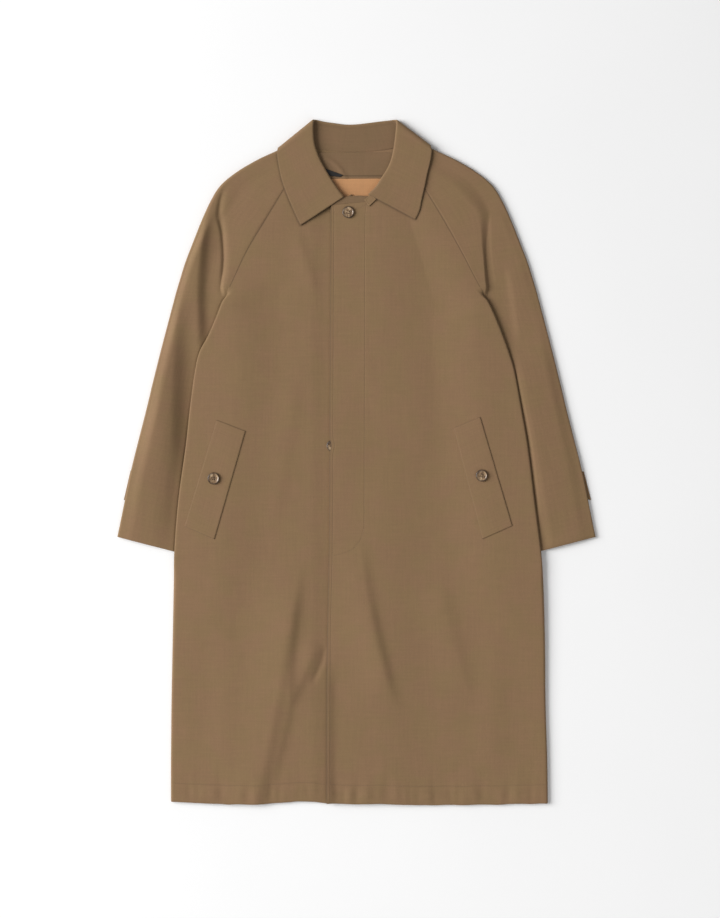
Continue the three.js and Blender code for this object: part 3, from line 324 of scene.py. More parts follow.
def lattice(x, y, size, seed):
    """Smooth noise between about -1 and 1 that changes over the two lengths in size."""
    count = 64
    values = np.random.default_rng(seed).uniform(-1, 1, (count, count))
    u, v = np.asarray(x, float) / size[0], np.asarray(y, float) / size[1]
    i, j = np.floor(u).astype(int), np.floor(v).astype(int)

    def weights(f):
        return ((1 - f) ** 3, 3 * f**3 - 6 * f**2 + 4, -3 * f**3 + 3 * f**2 + 3 * f + 1, f**3)

    total = 0
    for a, across in enumerate(weights(u - i)):
        for b, along in enumerate(weights(v - j)):
            total = total + across * along * values[(i + a) % count, (j + b) % count]
    return total / 18


def off_line(points, x, y):
    """Distance from a line of points, how far along it the nearest point is, and on which side.

    The side is positive at larger x of a line that runs down.
    """
    points = np.asarray(points, float)
    nearest = np.full(np.broadcast(x, y).shape, np.inf)
    along, turn = np.zeros_like(nearest), np.zeros_like(nearest)
    last = len(points) - 1
    for i in range(last):
        step = points[i + 1] - points[i]
        dx, dy = x - points[i][0], y - points[i][1]
        t = np.clip((dx * step[0] + dy * step[1]) / (step @ step), 0, 1)
        distance = np.hypot(dx - step[0] * t, dy - step[1] * t)
        closer = distance < nearest
        nearest = np.where(closer, distance, nearest)
        along = np.where(closer, (i + t) / last, along)
        turn = np.where(closer, step[0] * dy - step[1] * dx, turn)
    return nearest, along, turn


def side_of_line(points, x, y):
    """Signed distance from a line that crosses the whole piece, negative on its left."""
    nearest, _, turn = off_line(points, x, y)
    return np.where(turn > 0, -nearest, nearest)


def outside_of(corners, x, y):
    """Signed distance from a convex outline, negative inside it."""
    corners = np.asarray(corners, float)
    distance = off_line([*corners, corners[0]], x, y)[0]
    centre = corners.mean(axis=0)
    inside = np.ones(np.shape(x), bool)
    for start, end in zip(corners, [*corners[1:], corners[0]]):
        step = end - start
        turn = step[0] * (y - start[1]) - step[1] * (x - start[0])
        home = step[0] * (centre[1] - start[1]) - step[1] * (centre[0] - start[0])
        inside &= turn * home > 0
    return np.where(inside, -distance, distance)


def bezier(start, by, end, count=13):
    t = np.linspace(0, 1, count)[:, None]
    start, by, end = (np.array(p, float) for p in (start, by, end))
    return (1 - t) ** 2 * start + 2 * t * (1 - t) * by + t**2 * end


def crest(line, x, y, rise, before, beyond, start, fades=True):
    """Height of a crest along a line, with a flank of its own on each side."""
    nearest, along, turn = off_line(line, x, y)
    fade = smoothstep(0, start, along)
    if fades:
        fade = fade * (1 - smoothstep(0.75, 1, along))
    return rise * fade * np.exp(-((nearest / np.where(turn > 0, beyond, before)) ** 2))


def fold_height(folds, side, x, y):
    """Height that the soft folds of one side add at a point."""
    return sum(
        crest(bezier(start, by, end), x, y, rise, before, beyond, 0.3, ending == "fades")
        for start, by, end, rise, before, beyond, ending in folds[side]
    )


def crease_height(name, x, y):
    """Height that a piece's narrow creases add at a point."""
    return sum(crest(sample(points, 8), x, y, *shape, 0.25) for points, *shape in CREASES[name])


def body_edge(side, y):
    return SIGN[side] * read(BODY_EDGE, side, y)


def tucked_inner(y):
    lower = {name: values[RAGLAN_SECTIONS - 1:] for name, values in SLEEVE_SECTIONS.items()}
    return read(lower, "inner_x", y, "inner_y")


def high_strip(side, y):
    tucked = np.maximum(np.abs(body_edge(side, y)) - tucked_inner(y) + 16, 0)
    share = (1 - smoothstep(ARMPIT_Y - ARMPIT_RAMP, ARMPIT_Y, y)) * smoothstep(STRIP_END_Y, CUFF_Y, y)
    return lerp(RIM_FLAT, np.maximum(tucked, RIM_FLAT), share)


def ripple(x, y):
    """Slight unevenness of cloth that was pressed and laid down: swells along the grain and faint dents."""
    swells = 0.45 * lattice(x, y, (95, 330), 11) + 0.16 * lattice(x, y, (38, 120), 12)
    return swells + 0.04 * lattice(x, y, (13, 21), 13)


def front_edge(y):
    """Closing edge of the left front, which gives way a little round the fly button."""
    return read(FRONT_EDGE, "x", y) + 3.2 * np.exp(-(((y - FLY_BUTTON[1]) / 9) ** 2))


def pucker(distance, along, pitch, reach, seed):
    """Small creases that run away from a stitched line."""
    return np.exp(-np.abs(distance) / reach) * lattice(along, distance, (pitch, reach * 3), seed)


def front_height(side, x, y):
    """Middle height of a front at a point, before its fine detail."""
    inside = (body_edge(side, y) - x) * SIGN[side]
    strip = high_strip(side, y)
    rim = 1 - smoothstep(0, 1, (inside - strip) / RIM_SLOPE)
    height = FRONT_LAYER + (read(RIM_HEIGHT, side, y) - FRONT_LAYER) * rim
    folds = fold_height(FRONT_FOLDS, side, x, y) * (1 - rim * 0.6)
    if side == "right":
        under = smoothstep(UNDERLAP_START_X, FRONT_EDGE["x"][0] - 6, x)
        return lerp(height + folds, UNDERLAP_LAYER, under)
    overlap = lerp(OVERLAP_LAYER, FRONT_LAYER, smoothstep(OVERLAP_X + 4, OVERLAP_END_X, x))
    from_button = np.hypot(x - FLY_BUTTON[0], (y - FLY_BUTTON[1]) * FLY_BUTTON_STRETCH)
    over_button = FLY_BUTTON_RISE * (1 - smoothstep(*FLY_BUTTON_FEET, from_button))
    return np.maximum(height, overlap) + over_button + folds


def front_detail(side, x, y):
    """What pressing, stitching and wear add to the height of a front, still at its sewn edges."""
    inside = (body_edge(side, y) - x) * SIGN[side]
    calm = smoothstep(0, 34, inside)
    total = ripple(x, y) * (0.25 + 0.75 * calm)
    hem = y - hem_height(x)
    total = total + 1.1 * pucker(hem - HEM_STITCH / 2, x, 7, 15, 21) * calm
    total = total + 0.16 * pucker(inside, y, 9, 10, 23) * (y > ARMPIT_Y) * calm
    total = total + crease_height(f"front_{side}", x, y)
    if side == "left":
        total = total + 0.10 * pucker(x - front_edge(y) - EDGE_STITCH, y, 10, 6, 24)
        fly = side_of_line(FLY_LINE, x, y)
        total = total + 0.12 * pucker(fly, y, 12, 9, 25) - 0.15 * smoothstep(-4, 5, fly)
    return total


def front_surface(side, x, y):
    return front_height(side, x, y) + front_detail(side, x, y)


def collar_back_edge(x):
    return 505 + 26 * (x / 136) ** 2


def back_height(x, y):
    edge = collar_back_edge(x)
    return FLOOR_LAYER + NECK_LIFT * smoothstep(0, 1, (y - edge + 44) / 28)


def wrap_amount(y):
    """How far a front is wrapped under at its side: 0 along the raglan seam, 1 below the armpit."""
    return smoothstep(-(ARMPIT_Y + ARMPIT_RAMP), -ARMPIT_Y, -y)


def side_seam_height(y):
    return FLOOR_LAYER + SLEEVE_LIFT * (wrap_amount(y) * smoothstep(CUFF_Y - CUFF_RAMP, CUFF_Y, y))


def side_radius(side, y):
    return (read(RIM_HEIGHT, side, y) - side_seam_height(y)) / 2


def hem_height(x):
    return read(HEM, "y", x, "x") + 0.7 * lattice(x, 0 * x, (13, 50), 71)


def stations(keys, step):
    """Places along keys, about a step apart and at least two in each interval."""
    parts = []
    for a, b in zip(keys, keys[1:]):
        count = max(2, math.ceil(abs(b - a) / step))
        parts.append(np.linspace(a, b, count, endpoint=False))
    return np.concatenate([*parts, [keys[-1]]])


def lengths(points):
    """How far along a line of points each of them lies."""
    return np.concatenate([[0], np.cumsum(np.linalg.norm(np.diff(points, axis=0), axis=1))])


def lengths_along(grid, axis):
    steps = np.linalg.norm(np.diff(grid, axis=axis), axis=2).mean(axis=1 - axis)
    return np.concatenate([[0], np.cumsum(steps)])


def sample(points, step=4):
    """A smooth line through points, as short steps."""
    points = np.asarray(points, float)
    keys = lengths(points)
    return curve(keys, points, stations(keys, step))


def refine(grid, row_step, column_step):
    """A finer smooth grid through the points of a coarse one."""
    for axis, step in ((0, row_step), (1, column_step)):
        grid = np.moveaxis(grid, axis, 0)
        keys = lengths_along(grid, 0)
        grid = np.moveaxis(curve(keys, grid, stations(keys, step)), 0, axis)
    return grid


def unit(vectors):
    return vectors / np.maximum(np.linalg.norm(vectors, axis=-1, keepdims=True), 1e-9)


RIM_STEPS = 3
RIM_BULGE = 0.45
SHEETS = {}


def ring(grid):
    """The points of a grid's border, once round."""
    return np.concatenate([grid[0, :-1], grid[:-1, -1], grid[-1, :0:-1], grid[:0:-1, 0]])


def new_mesh(name, points, faces):
    mesh = bpy.data.meshes.new(name)
    mesh.from_pydata(points, [], faces)
    mesh.polygons.foreach_set("use_smooth", [True] * len(mesh.polygons))
    return mesh


def set_values(mesh, name, kind, values):
    attribute = mesh.attributes.new(name, kind, "POINT")
    attribute.data.foreach_set("vector" if kind == "FLOAT_VECTOR" else "value", values)


def make(name, grid, lines=None, cut=None, thickness=CLOTH, material=None):
    """A closed piece of cloth round a grid of middle points, with soft rims.

    lines gives the distance of each point from lines of stitching and of painted shadow, and cut its place in
    the flat cloth.
    """
    count_rows, count_columns = grid.shape[:2]
    normal = unit(np.cross(np.gradient(grid, axis=0), np.gradient(grid, axis=1)))
    outward = np.zeros_like(grid)
    for rim, inner in ((0, 1), (-1, -2)):
        outward[rim] += unit(grid[rim] - grid[inner])
        outward[:, rim] += unit(grid[:, rim] - grid[:, inner])
    half = thickness / 2
    layers = [grid + normal * half, grid - normal * half]
    border, border_normal, border_out = ring(grid), ring(normal), ring(outward)
    rims = []
    for k in range(1, RIM_STEPS + 1):
        angle = math.pi * k / (RIM_STEPS + 1)
        turned = border_normal * half * math.cos(angle) + border_out * RIM_BULGE * math.sin(angle)
        rims.append(border + turned)
    points = np.concatenate([*(layer.reshape(-1, 3) for layer in layers), *rims])
    points[:, 2] = np.maximum(points[:, 2], 0)
    index = np.arange(count_rows * count_columns).reshape(count_rows, count_columns)
    under = index + index.size
    a, b, c, d = index[:-1, :-1], index[1:, :-1], index[1:, 1:], index[:-1, 1:]
    quads = [np.stack([a, b, c, d], -1).reshape(-1, 4)]
    quads.append(np.stack([a, d, c, b], -1).reshape(-1, 4) + index.size)
    round_it = len(border)
    loops = [ring(index[..., None])[:, 0]]
    loops += [2 * index.size + k * round_it + np.arange(round_it) for k in range(RIM_STEPS)]
    loops.append(ring(under[..., None])[:, 0])
    for upper, lower in zip(loops, loops[1:]):
        quads.append(np.stack([upper, np.roll(upper, -1), np.roll(lower, -1), lower], -1))
    mesh = new_mesh(name, (points * MM).tolist(), np.concatenate(quads).tolist())

    def spread(values):
        flat = values.reshape(-1, *values.shape[2:])
        return np.concatenate([flat, flat, *[ring(values)] * RIM_STEPS]).ravel()

    if cut is None:
        cut = np.stack(np.meshgrid(lengths_along(grid, 1), -lengths_along(grid, 0)), -1)
    flat = np.concatenate([cut, np.zeros(cut.shape[:2] + (1,))], -1) * MM
    set_values(mesh, "cut", "FLOAT_VECTOR", spread(flat))
    for line in LINES:
        values = (lines or {}).get(line, np.full(grid.shape[:2], FAR))
        set_values(mesh, line, "FLOAT", spread(values[..., None]))
    SHEETS[name] = add(name + "_cloth", mesh, material or COAT, name)


def add(name, mesh, material, replaced=None):
    """Puts a mesh in the scene on the coat's one body."""
    piece = bpy.data.objects.new(name, mesh)
    bpy.context.collection.objects.link(piece)
    mesh.materials.append(material)
    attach(piece, "root")
    if replaced:
        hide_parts(replaced)
    return piece


class Nodes:
    """Short ways to lay out a material's nodes."""

    def __init__(self, name):
        self.material = bpy.data.materials.new(name)
        self.material.use_nodes = True
        self.tree = self.material.node_tree
        self.shader = self.tree.nodes["Principled BSDF"]

    def put(self, socket, value):
        if isinstance(value, bpy.types.NodeSocket):
            self.tree.links.new(value, socket)
        else:
            socket.default_value = value

    def new(self, kind, inputs=None, **settings):
        node = self.tree.nodes.new(kind)
        for key, value in settings.items():
            setattr(node, key, value)
        for key, value in (inputs or {}).items():
            self.put(node.inputs[key], value)
        return node

    def maths(self, operation, a, b=0.0):
        return self.new("ShaderNodeMath", {0: a, 1: b}, operation=operation).outputs[0]

    def plus(self, a, b):
        return self.maths("ADD", a, b)

    def times(self, a, b):
        return self.maths("MULTIPLY", a, b)

    def larger(self, a, b):
        return self.maths("MAXIMUM", a, b)

    def place(self):
        return self.new("ShaderNodeTexCoord").outputs["Object"]

    def attribute(self, name, output="Fac"):
        return self.new("ShaderNodeAttribute", attribute_name=name).outputs[output]

    def noise(self, vector, scale, detail=2.0, roughness=0.5, output="Fac"):
        wanted = {"Vector": vector, "Scale": scale, "Detail": detail, "Roughness": roughness}
        return self.new("ShaderNodeTexNoise", wanted).outputs[output]

    def remap(self, value, low, high, to_low, to_high):
        wanted = {0: value, 1: low, 2: high, 3: to_low, 4: to_high}
        return self.new("ShaderNodeMapRange", wanted).outputs[0]

    def stretch(self, vector, x, y, z=1.0):
        wanted = {0: vector, 1: (x, y, z)}
        return self.new("ShaderNodeVectorMath", wanted, operation="MULTIPLY").outputs[0]

    def mix(self, amount, a, b, blend="MIX"):
        wanted = {0: amount, 6: a, 7: b}
        return self.new("ShaderNodeMix", wanted, data_type="RGBA", blend_type=blend).outputs[2]

    def grey(self, tone):
        return self.new("ShaderNodeCombineColor", {0: tone, 1: tone, 2: tone}).outputs[0]

    def bump(self, height, distance, normal=None):
        wanted = {"Height": height, "Distance": distance}
        if normal is not None:
            wanted["Normal"] = normal
        return self.new("ShaderNodeBump", wanted).outputs["Normal"]

    def set(self, **sockets):
        for key, value in sockets.items():
            self.put(self.shader.inputs[key.replace("_", " ")], value)
        return self.material


def linear(red, green, blue):
    """A screen colour, 0 to 255, as the renderer's linear colour."""
    def channel(value):
        value /= 255
        return value / 12.92 if value <= 0.04045 else ((value + 0.055) / 1.055) ** 2.4
    return (channel(red), channel(green), channel(blue), 1.0)


TWILL_PITCH = 0.0009
TWILL_SLOPE = 0.62
YARN = 0.00035
# How much darker the cloth is along its stitching (seam dirt with painted shade in the stitched groove), and
# along the painted shadow lines
STITCH_TONE = 0.05
SHADOW_TONE = 0.42


def cloth_material(name, colour, fleck, twill_depth=0.00005, roughness=0.78, sheen=0.12):
    """Twill cloth: diagonal ribs, uneven yarns, soft mottling, darker stitched lines and painted shadow
    lines.
    """
    n = Nodes(name)
    cut, place = n.attribute("cut", "Vector"), n.place()
    parts = n.new("ShaderNodeSeparateXYZ", {0: cut}).outputs
    diagonal = n.plus(parts[0], n.times(parts[1], TWILL_SLOPE))
    wobble = n.times(n.noise(cut, 900.0), TWILL_PITCH * 0.5)
    phase = n.times(n.plus(diagonal, wobble), math.tau / TWILL_PITCH)
    ribs = n.remap(n.maths("SINE", phase), -1, 1, 0, 1)
    weft = n.noise(n.stretch(cut, 0.12, 1.0), 1 / YARN, 1.0)
    warp = n.noise(n.stretch(cut, 1.0, 0.06), 1 / YARN, 1.0)
    yarns = n.plus(weft, warp)
    clouds = n.noise(place, 11.0, 3.0, 0.55)
    patches = n.noise(place, 70.0)
    slubs = n.plus(n.noise(n.stretch(cut, 22, 360), 1.0, 1.0), n.noise(n.stretch(cut, 360, 16), 1.0, 1.0))

    drawn = []
    for line, width in LINES.items():
        away = n.maths("DIVIDE", n.attribute(line), width)
        drawn.append(n.maths("EXPONENT", n.times(n.times(away, away), -1.0)))
    edge, seam, hem, shadow = drawn
    stitched = n.larger(edge, n.larger(seam, hem))
    # dark: the stitch lines and the painted shadow lines, taken off the cloth's tone below
    dark = n.larger(n.times(stitched, STITCH_TONE), n.times(shadow, SHADOW_TONE))

    tone = n.plus(n.remap(clouds, 0.3, 0.7, 0.988, 1.012), n.remap(patches, 0.3, 0.7, -0.01, 0.01))
    for value, low, high, swing in ((slubs, 0.6, 1.4, 0.045), (yarns, 0.6, 1.4, 0.09), (ribs, 0, 1, 0.05)):
        tone = n.plus(tone, n.remap(value, low, high, -swing, swing))
    tone = n.times(tone, n.maths("SUBTRACT", 1.0, dark))
    hue = n.mix(n.remap(n.noise(place, 23.0), 0.38, 0.62, 0, 1), colour, fleck)
    tinted = n.mix(1.0, hue, n.grey(tone), "MULTIPLY")

    normal = n.bump(n.plus(n.times(ribs, 0.6), n.times(yarns, 0.5)), twill_depth)
    normal = n.bump(n.noise(place, 160.0, 3.0, 0.6), 0.00012, normal)
    normal = n.bump(n.times(stitched, -1.0), 0.00018, normal)
    uneven = n.plus(n.noise(place, 40.0), yarns)
    rough = n.remap(uneven, 0.8, 2.2, roughness - 0.06, roughness + 0.06)
    n.set(Base_Color=tinted, Roughness=rough, Normal=normal, Sheen_Weight=sheen, Sheen_Roughness=0.45)
    return n.set(Specular_IOR_Level=0.3)


def thread_material():
    n = Nodes("thread")
    fibres = n.noise(n.place(), 2500.0, 2.0, 0.7)
    colour = n.mix(n.remap(fibres, 0.3, 0.7, 0, 1), linear(84, 64, 46), linear(124, 99, 73))
    rough = n.remap(fibres, 0, 1, 0.5, 0.75)
    return n.set(Base_Color=colour, Roughness=rough, Normal=n.bump(fibres, 0.0001), Sheen_Weight=0.1)


def horn_material():
    """Mottled horn: pale and dark streaks that differ from button to button, under a polish."""
    n = Nodes("horn")
    place = n.place()
    bent = n.stretch(n.noise(place, 70.0, output="Color"), 0.02, 0.02, 0.02)
    warped = n.new("ShaderNodeVectorMath", {0: bent, 1: place}, operation="ADD")
    streaks = n.noise(n.stretch(warped.outputs[0], 1.0, 0.5), 150.0, 4.0, 0.6)
    ramp = n.new("ShaderNodeValToRGB", {0: streaks})
    stops = ((0.30, (66, 48, 34)), (0.42, (106, 82, 58)), (0.52, (146, 119, 90)), (0.64, (190, 164, 130)))
    elements = ramp.color_ramp.elements
    while len(elements) < len(stops):
        elements.new(0.5)
    for element, (position, colour) in zip(elements, stops):
        element.position = position
        element.color = linear(*colour)
    colour = n.mix(n.times(n.attribute("rim"), 0.85), ramp.outputs["Color"], linear(52, 36, 26))
    normal = n.bump(n.noise(place, 900.0, 3.0), 0.00004)
    rough = n.remap(n.noise(place, 320.0), 0.3, 0.7, 0.26, 0.42)
    return n.set(Base_Color=colour, Roughness=rough, Normal=normal, Coat_Weight=0.15, Coat_Roughness=0.12)


def label_material():
    """Black woven satin, left bare."""
    n = Nodes("label")
    weave = n.noise(n.stretch(n.attribute("cut", "Vector"), 0.2, 1.0), 2600.0, 1.0)
    colour = n.mix(weave, linear(16, 14, 13), linear(38, 34, 32))
    return n.set(Base_Color=colour, Roughness=n.remap(weave, 0, 1, 0.38, 0.6), Normal=n.bump(weave, 0.00005))


COAT = cloth_material("coat_twill", linear(134, 105, 76), linear(132, 106, 74))
# A darker copy of the coat's twill for the neck facing and the collar stand: painted shade in the hollow of
# the neck.
COAT_NECK_SHADE = cloth_material("coat_twill_painted_neck_shade", linear(124, 97, 70), linear(122, 97, 69))
LINING = cloth_material("lining_twill", linear(192, 141, 96), linear(188, 138, 94), 0.00003, 0.5, 0.2)
THREAD = thread_material()
HORN = horn_material()
LABEL = label_material()


def front_rows():
    neck = stations([TOP_ROW, NECK_ROW], 3)
    shoulder = stations([NECK_ROW, 440], 1)
    body = stations([440, 300, 262, HEM_ROW + HEM_FLARE, HEM_ROW], 3.9)
    return np.concatenate([neck[:-1], shoulder[:-1], body])


FRONT_SHARES = {
    "right": stations([0, 0.3, 1], 0.011)[:-1],
    "left": np.concatenate([stations([0, 0.2], 0.0058)[:-1], stations([0.2, 1], 0.0105)[:-1]]),
}
WRAP_COLUMNS = 14


def front_grid(side):
    """Points of a front: from its inner edge out to the raglan seam, or round the side fold."""
    sign = SIGN[side]
    y = front_rows()[:, None]
    outer = body_edge(side, y) - sign * SEAM
    below = np.full_like(y, OVERLAP_X) if side == "right" else front_edge(y)
    inner = np.where(y >= NECK_ROW, sign * read(NECK_EDGE, side, y), below)
    slope = np.clip((NECK_ROW - y) / (NECK_ROW - 440), 0, 1)
    start_inner = sign * read(NECK_EDGE, side, NECK_ROW)
    inner = np.where((y < NECK_ROW) & (y > 440), lerp(start_inner, below, slope), inner)
    wrap = wrap_amount(y)
    radius = side_radius(side, y)
    strip = np.minimum(12, np.abs(outer - inner) * 0.4)
    start = outer - sign * lerp(strip, radius + HALF_CLOTH, wrap)
    flat_x = lerp(inner, start, FRONT_SHARES[side][None, :])
    flat_z = front_surface(side, flat_x, y)
    share = np.linspace(0, 1, WRAP_COLUMNS + 1)[None, :]
    strip_x = outer - sign * strip * (1 - share)
    full_angle = math.pi * lerp(FIRST_TURN, 1, wrap)
    length = (full_angle * radius + WRAP_TAIL * wrap) * share
    angle = np.minimum(length / radius, full_angle)
    tail = np.maximum(length - full_angle * radius, 0)
    turned_x = outer - sign * (radius + HALF_CLOTH) + sign * (radius * np.sin(angle) - tail)
    turned_z = front_surface(side, start, y) - radius + radius * np.cos(angle)
    x = np.concatenate([flat_x, lerp(strip_x, turned_x, wrap)], axis=1)
    z = np.concatenate([flat_z, lerp(front_surface(side, strip_x, y), turned_z, wrap)], axis=1)
    cut_x = np.concatenate([flat_x, np.where(wrap > 0, start + sign * length, strip_x)], axis=1)
    hem = np.clip((HEM_ROW + HEM_FLARE - y) / HEM_FLARE, 0, 1)
    lowered = y + (hem_height(x) - HEM_ROW) * hem
    return np.stack([x, lowered, z], -1), cut_x


def shade(distance, fade, start):
    """Distance as the shadow line takes it: it fades slower for a small fade and starts fainter."""
    return np.abs(distance) * fade + start


def beside_collar(side, x, y):
    """Shadow line along the free edges of a collar leaf, where it lies on the coat."""
    table = COLLAR[side]
    places = zip((table["roll_x"][0], *table["tip_x"]), (table["roll_y"][0], *table["tip_y"]))
    return shade(off_line(list(places), x, y)[0], *COLLAR_SHADOW)


def front(side):
    grid, cut_x = front_grid(side)
    x, y = cut_x, grid[..., 1]
    lines = {"line_hem": y - hem_height(x) - HEM_STITCH}
    # Painted shadow lines: round the welts, beside the collar's edges and along the raglan seam
    shadows = [
        shade(outside_of(WELTS[side], x, y), *WELT_SHADOW),
        beside_collar(side, x, y),
        np.where(y > ARMPIT_Y, np.abs(body_edge(side, y) - x), FAR),
    ]
    if side == "right":
        # Painted shade on the side fold's rim that faces the light, and a painted shadow beside the closing
        # edge where the fronts part
        fold = shade(body_edge(side, y) - grid[..., 0], *SIDE_FOLD_SHADOW)
        shadows.append(np.where((y < ARMPIT_Y) & (y > CUFF_Y), fold, FAR))
        faint = np.maximum(y - GAP_SHADOW_Y, 0) * GAP_SHADOW_FADE
        shadows.append(shade(x - front_edge(y), GAP_SHADOW, faint))
    else:
        lines["line_edge"] = x - front_edge(y) - EDGE_STITCH
        lines["line_seam"] = side_of_line(FLY_LINE, x, y)
        # Painted shadow round the stand's end, and painted shade on the closing edge's lit rim
        shadows.append(np.abs(outside_of(END_CORNERS, x, y)))
        shadows.append(shade(x - front_edge(y), *CLOSING_EDGE_SHADOW))
    lines["line_shadow"] = np.minimum.reduce(shadows)
    make(f"front_{side}", grid, lines, np.stack([cut_x, y], -1))


def section_places():
    """The sleeve's table as smooth columns at fine steps."""
    count = len(SLEEVE_SECTIONS["inner_y"])
    at = stations(np.arange(count), 0.125)
    keys = np.arange(count, dtype=float)
    return at, {name: curve(keys, values, at) for name, values in SLEEVE_SECTIONS.items()}


def step_share(side, inner, outer):
    if inner[1] > STEP_LINE["y"][0] - 10:
        return 0.62
    shares = np.linspace(0, 1, 400)
    y = lerp(inner[1], outer[1], shares)
    line = np.where(y > STEP_LINE["y"][-1], read(STEP_LINE, side, y), np.abs(body_edge(side, y)))
    reach = lerp(abs(inner[0]), abs(outer[0]), shares) - line
    crossed = np.argmax(reach >= 0) if (reach >= 0).any() else len(shares) - 1
    return float(np.clip(shares[crossed], 0.08, 0.7))


def strap_lift(x, y):
    along_x = 1 - smoothstep(44, 80, np.abs(np.abs(x) - STRAP_CENTRE[0]))
    along_y = 1 - smoothstep(50, 78, np.abs(y - STRAP_CENTRE[1]))
    return STRAP_LIFT * along_x * along_y


def under_height(x, y):
    return back_height(x, y) + strap_lift(x, y)


def back_seam(side, inner_y):
    towards = 1 - (TOP_ROW - inner_y) / (TOP_ROW - ARMPIT_Y)
    x = SIGN[side] * (np.abs(body_edge(side, inner_y)) - BACK_SEAM_SHIFT[0] * towards)
    return np.array([x, inner_y + BACK_SEAM_SHIFT[1] * towards])


def sleeve_grid(side):
    """Points of a sleeve: upper layer from the inner edge out, round the fold and back under."""
    sign = SIGN[side]
    at, columns = section_places()
    sections = []
    steps = smooth_steps(side, columns)
    for index, step in enumerate(steps):
        inner_x, inner_y, outer_x, outer_y = (
            columns[name][index] for name in ("inner_x", "inner_y", "outer_x", "outer_y")
        )
        arm, fold_top = (float(read(SLEEVE_HEIGHT[side], name, inner_y)) for name in ("arm", "fold"))
        raglan = np.clip(RAGLAN_SECTIONS - at[index], 0, 1)
        dive = smoothstep(ARMPIT_Y + 3, ARMPIT_Y + ARMPIT_RAMP, inner_y)
        seam_x = abs(body_edge(side, inner_y)) + SEAM - ARMPIT_TUCK * (1 - dive)
        inner = np.array([sign * lerp(inner_x, seam_x, raglan), inner_y])
        outer = np.array([sign * outer_x, outer_y])
        length = np.linalg.norm(outer - inner)
        outward = (outer - inner) / length
        depth = read(STEP_LINE, "depth", inner_y) if inner_y > ARMPIT_Y else 1.0
        soft = lerp(0.3, STEP_REACH / length, depth)
        seam_height = lerp(TUCKED_SLEEVE, front_height(side, inner[0], inner[1]), dive)
        bottom = under_height(outer[0] - outward[0] * 4, outer[1])
        radius = (fold_top - bottom) / 2
        first = max(step - soft, 0.04)
        clear = min(step + soft, 0.76)
        fold_start = 1 - (radius + HALF_CLOTH) / length
        shares = np.concatenate([
            np.linspace(0, first, 12, endpoint=False),
            np.linspace(first, clear, 16, endpoint=False),
            np.linspace(clear, fold_start, 38, endpoint=False),
        ])
        place = inner + (outer - inner) * shares[:, None]
        out = smoothstep(max(step - soft, 0), clear, shares)
        ease = smoothstep(0, 0.15, shares) * (1 - smoothstep(0.82, 1, shares))
        height = lerp(seam_height, lerp(arm, fold_top, smoothstep(0.45, fold_start, shares)), out)
        height += fold_height(SLEEVE_FOLDS, side, place[:, 0], place[:, 1]) * out * ease
        fine = sleeve_detail(side, place[:, 0], place[:, 1])
        height += fine * smoothstep(0, 0.1, shares) * (1 - smoothstep(0.86, 0.97, shares))
        upper = np.column_stack([place, height])
        centre = outer - outward * (radius + HALF_CLOTH)
        angle = np.linspace(0, math.pi, 11)
        turn = centre + outward * (radius * np.sin(angle))[:, None]
        turned = np.column_stack([turn, bottom + radius + radius * np.cos(angle)])
        end = lerp(inner, back_seam(side, inner_y), raglan)
        below = centre + (end - centre) * np.linspace(0, 1, 24)[1:, None]
        lower = np.column_stack([below, under_height(below[:, 0], below[:, 1])])
        sections.append(np.concatenate([upper, turned, lower]))
    return np.array(sections)


def smooth_steps(side, columns):
    """Shares at which the sections cross the step line, evened out along the sleeve."""
    steps = np.array([
        step_share(side, (x, y), (outer_x, outer_y))
        for x, y, outer_x, outer_y in zip(*(columns[k] for k in ("inner_x", "inner_y", "outer_x", "outer_y")))
    ])
    padded = np.pad(steps, 2, mode="edge")
    return np.convolve(padded, np.ones(5) / 5, mode="valid")


def sleeve_detail(side, x, y):
    """Unevenness and narrow creases of a sleeve's upper layer."""
    seed = 31 if side == "right" else 32
    swell = 0.3 * lattice(x, y, (44, 130), seed) + 0.12 * lattice(x, y, (20, 46), seed + 2)
    return swell + 0.04 * lattice(x, y, (11, 17), seed + 4) + crease_height(f"sleeve_{side}", x, y)


def sleeve(side):
    grid = sleeve_grid(side)
    # Painted shade on the rim along the raglan seam, and painted shadow beside the collar's edges
    seam = shade(inset_of(grid, "l"), *RIM_SHADOW["sleeve"])
    raglan = np.where(grid[:, :1, 1] > ARMPIT_Y, seam, FAR)
    shadow = np.minimum(beside_collar(side, grid[..., 0], grid[..., 1]), raglan)
    make(f"sleeve_{side}", grid, {"line_shadow": shadow})


BACK_SHARES = np.array([0, 0.03, 0.09, 0.2, 0.35, 0.5, 0.65, 0.8, 0.91, 0.97, 1])
BACK_ROWS = (262, 250, 220, 180, 140, 95, 50, 27, 5, -40, -85, -130, -165, -180, -203,
             -240, -285, -330, -375, -420, -465, -510, -550, BACK_HEM_Y)
BACK_RAMP_INSET = 5
BACK_RAMP_LEAST = 3
BACK_RAMP_TOP = 2
BACK_RAMP_FOOT = 14


def side_reach(side, y):
    """How far in from the body's edge the wrapped front ends."""
    return side_radius(side, y) + HALF_CLOTH + WRAP_TAIL + SEAM


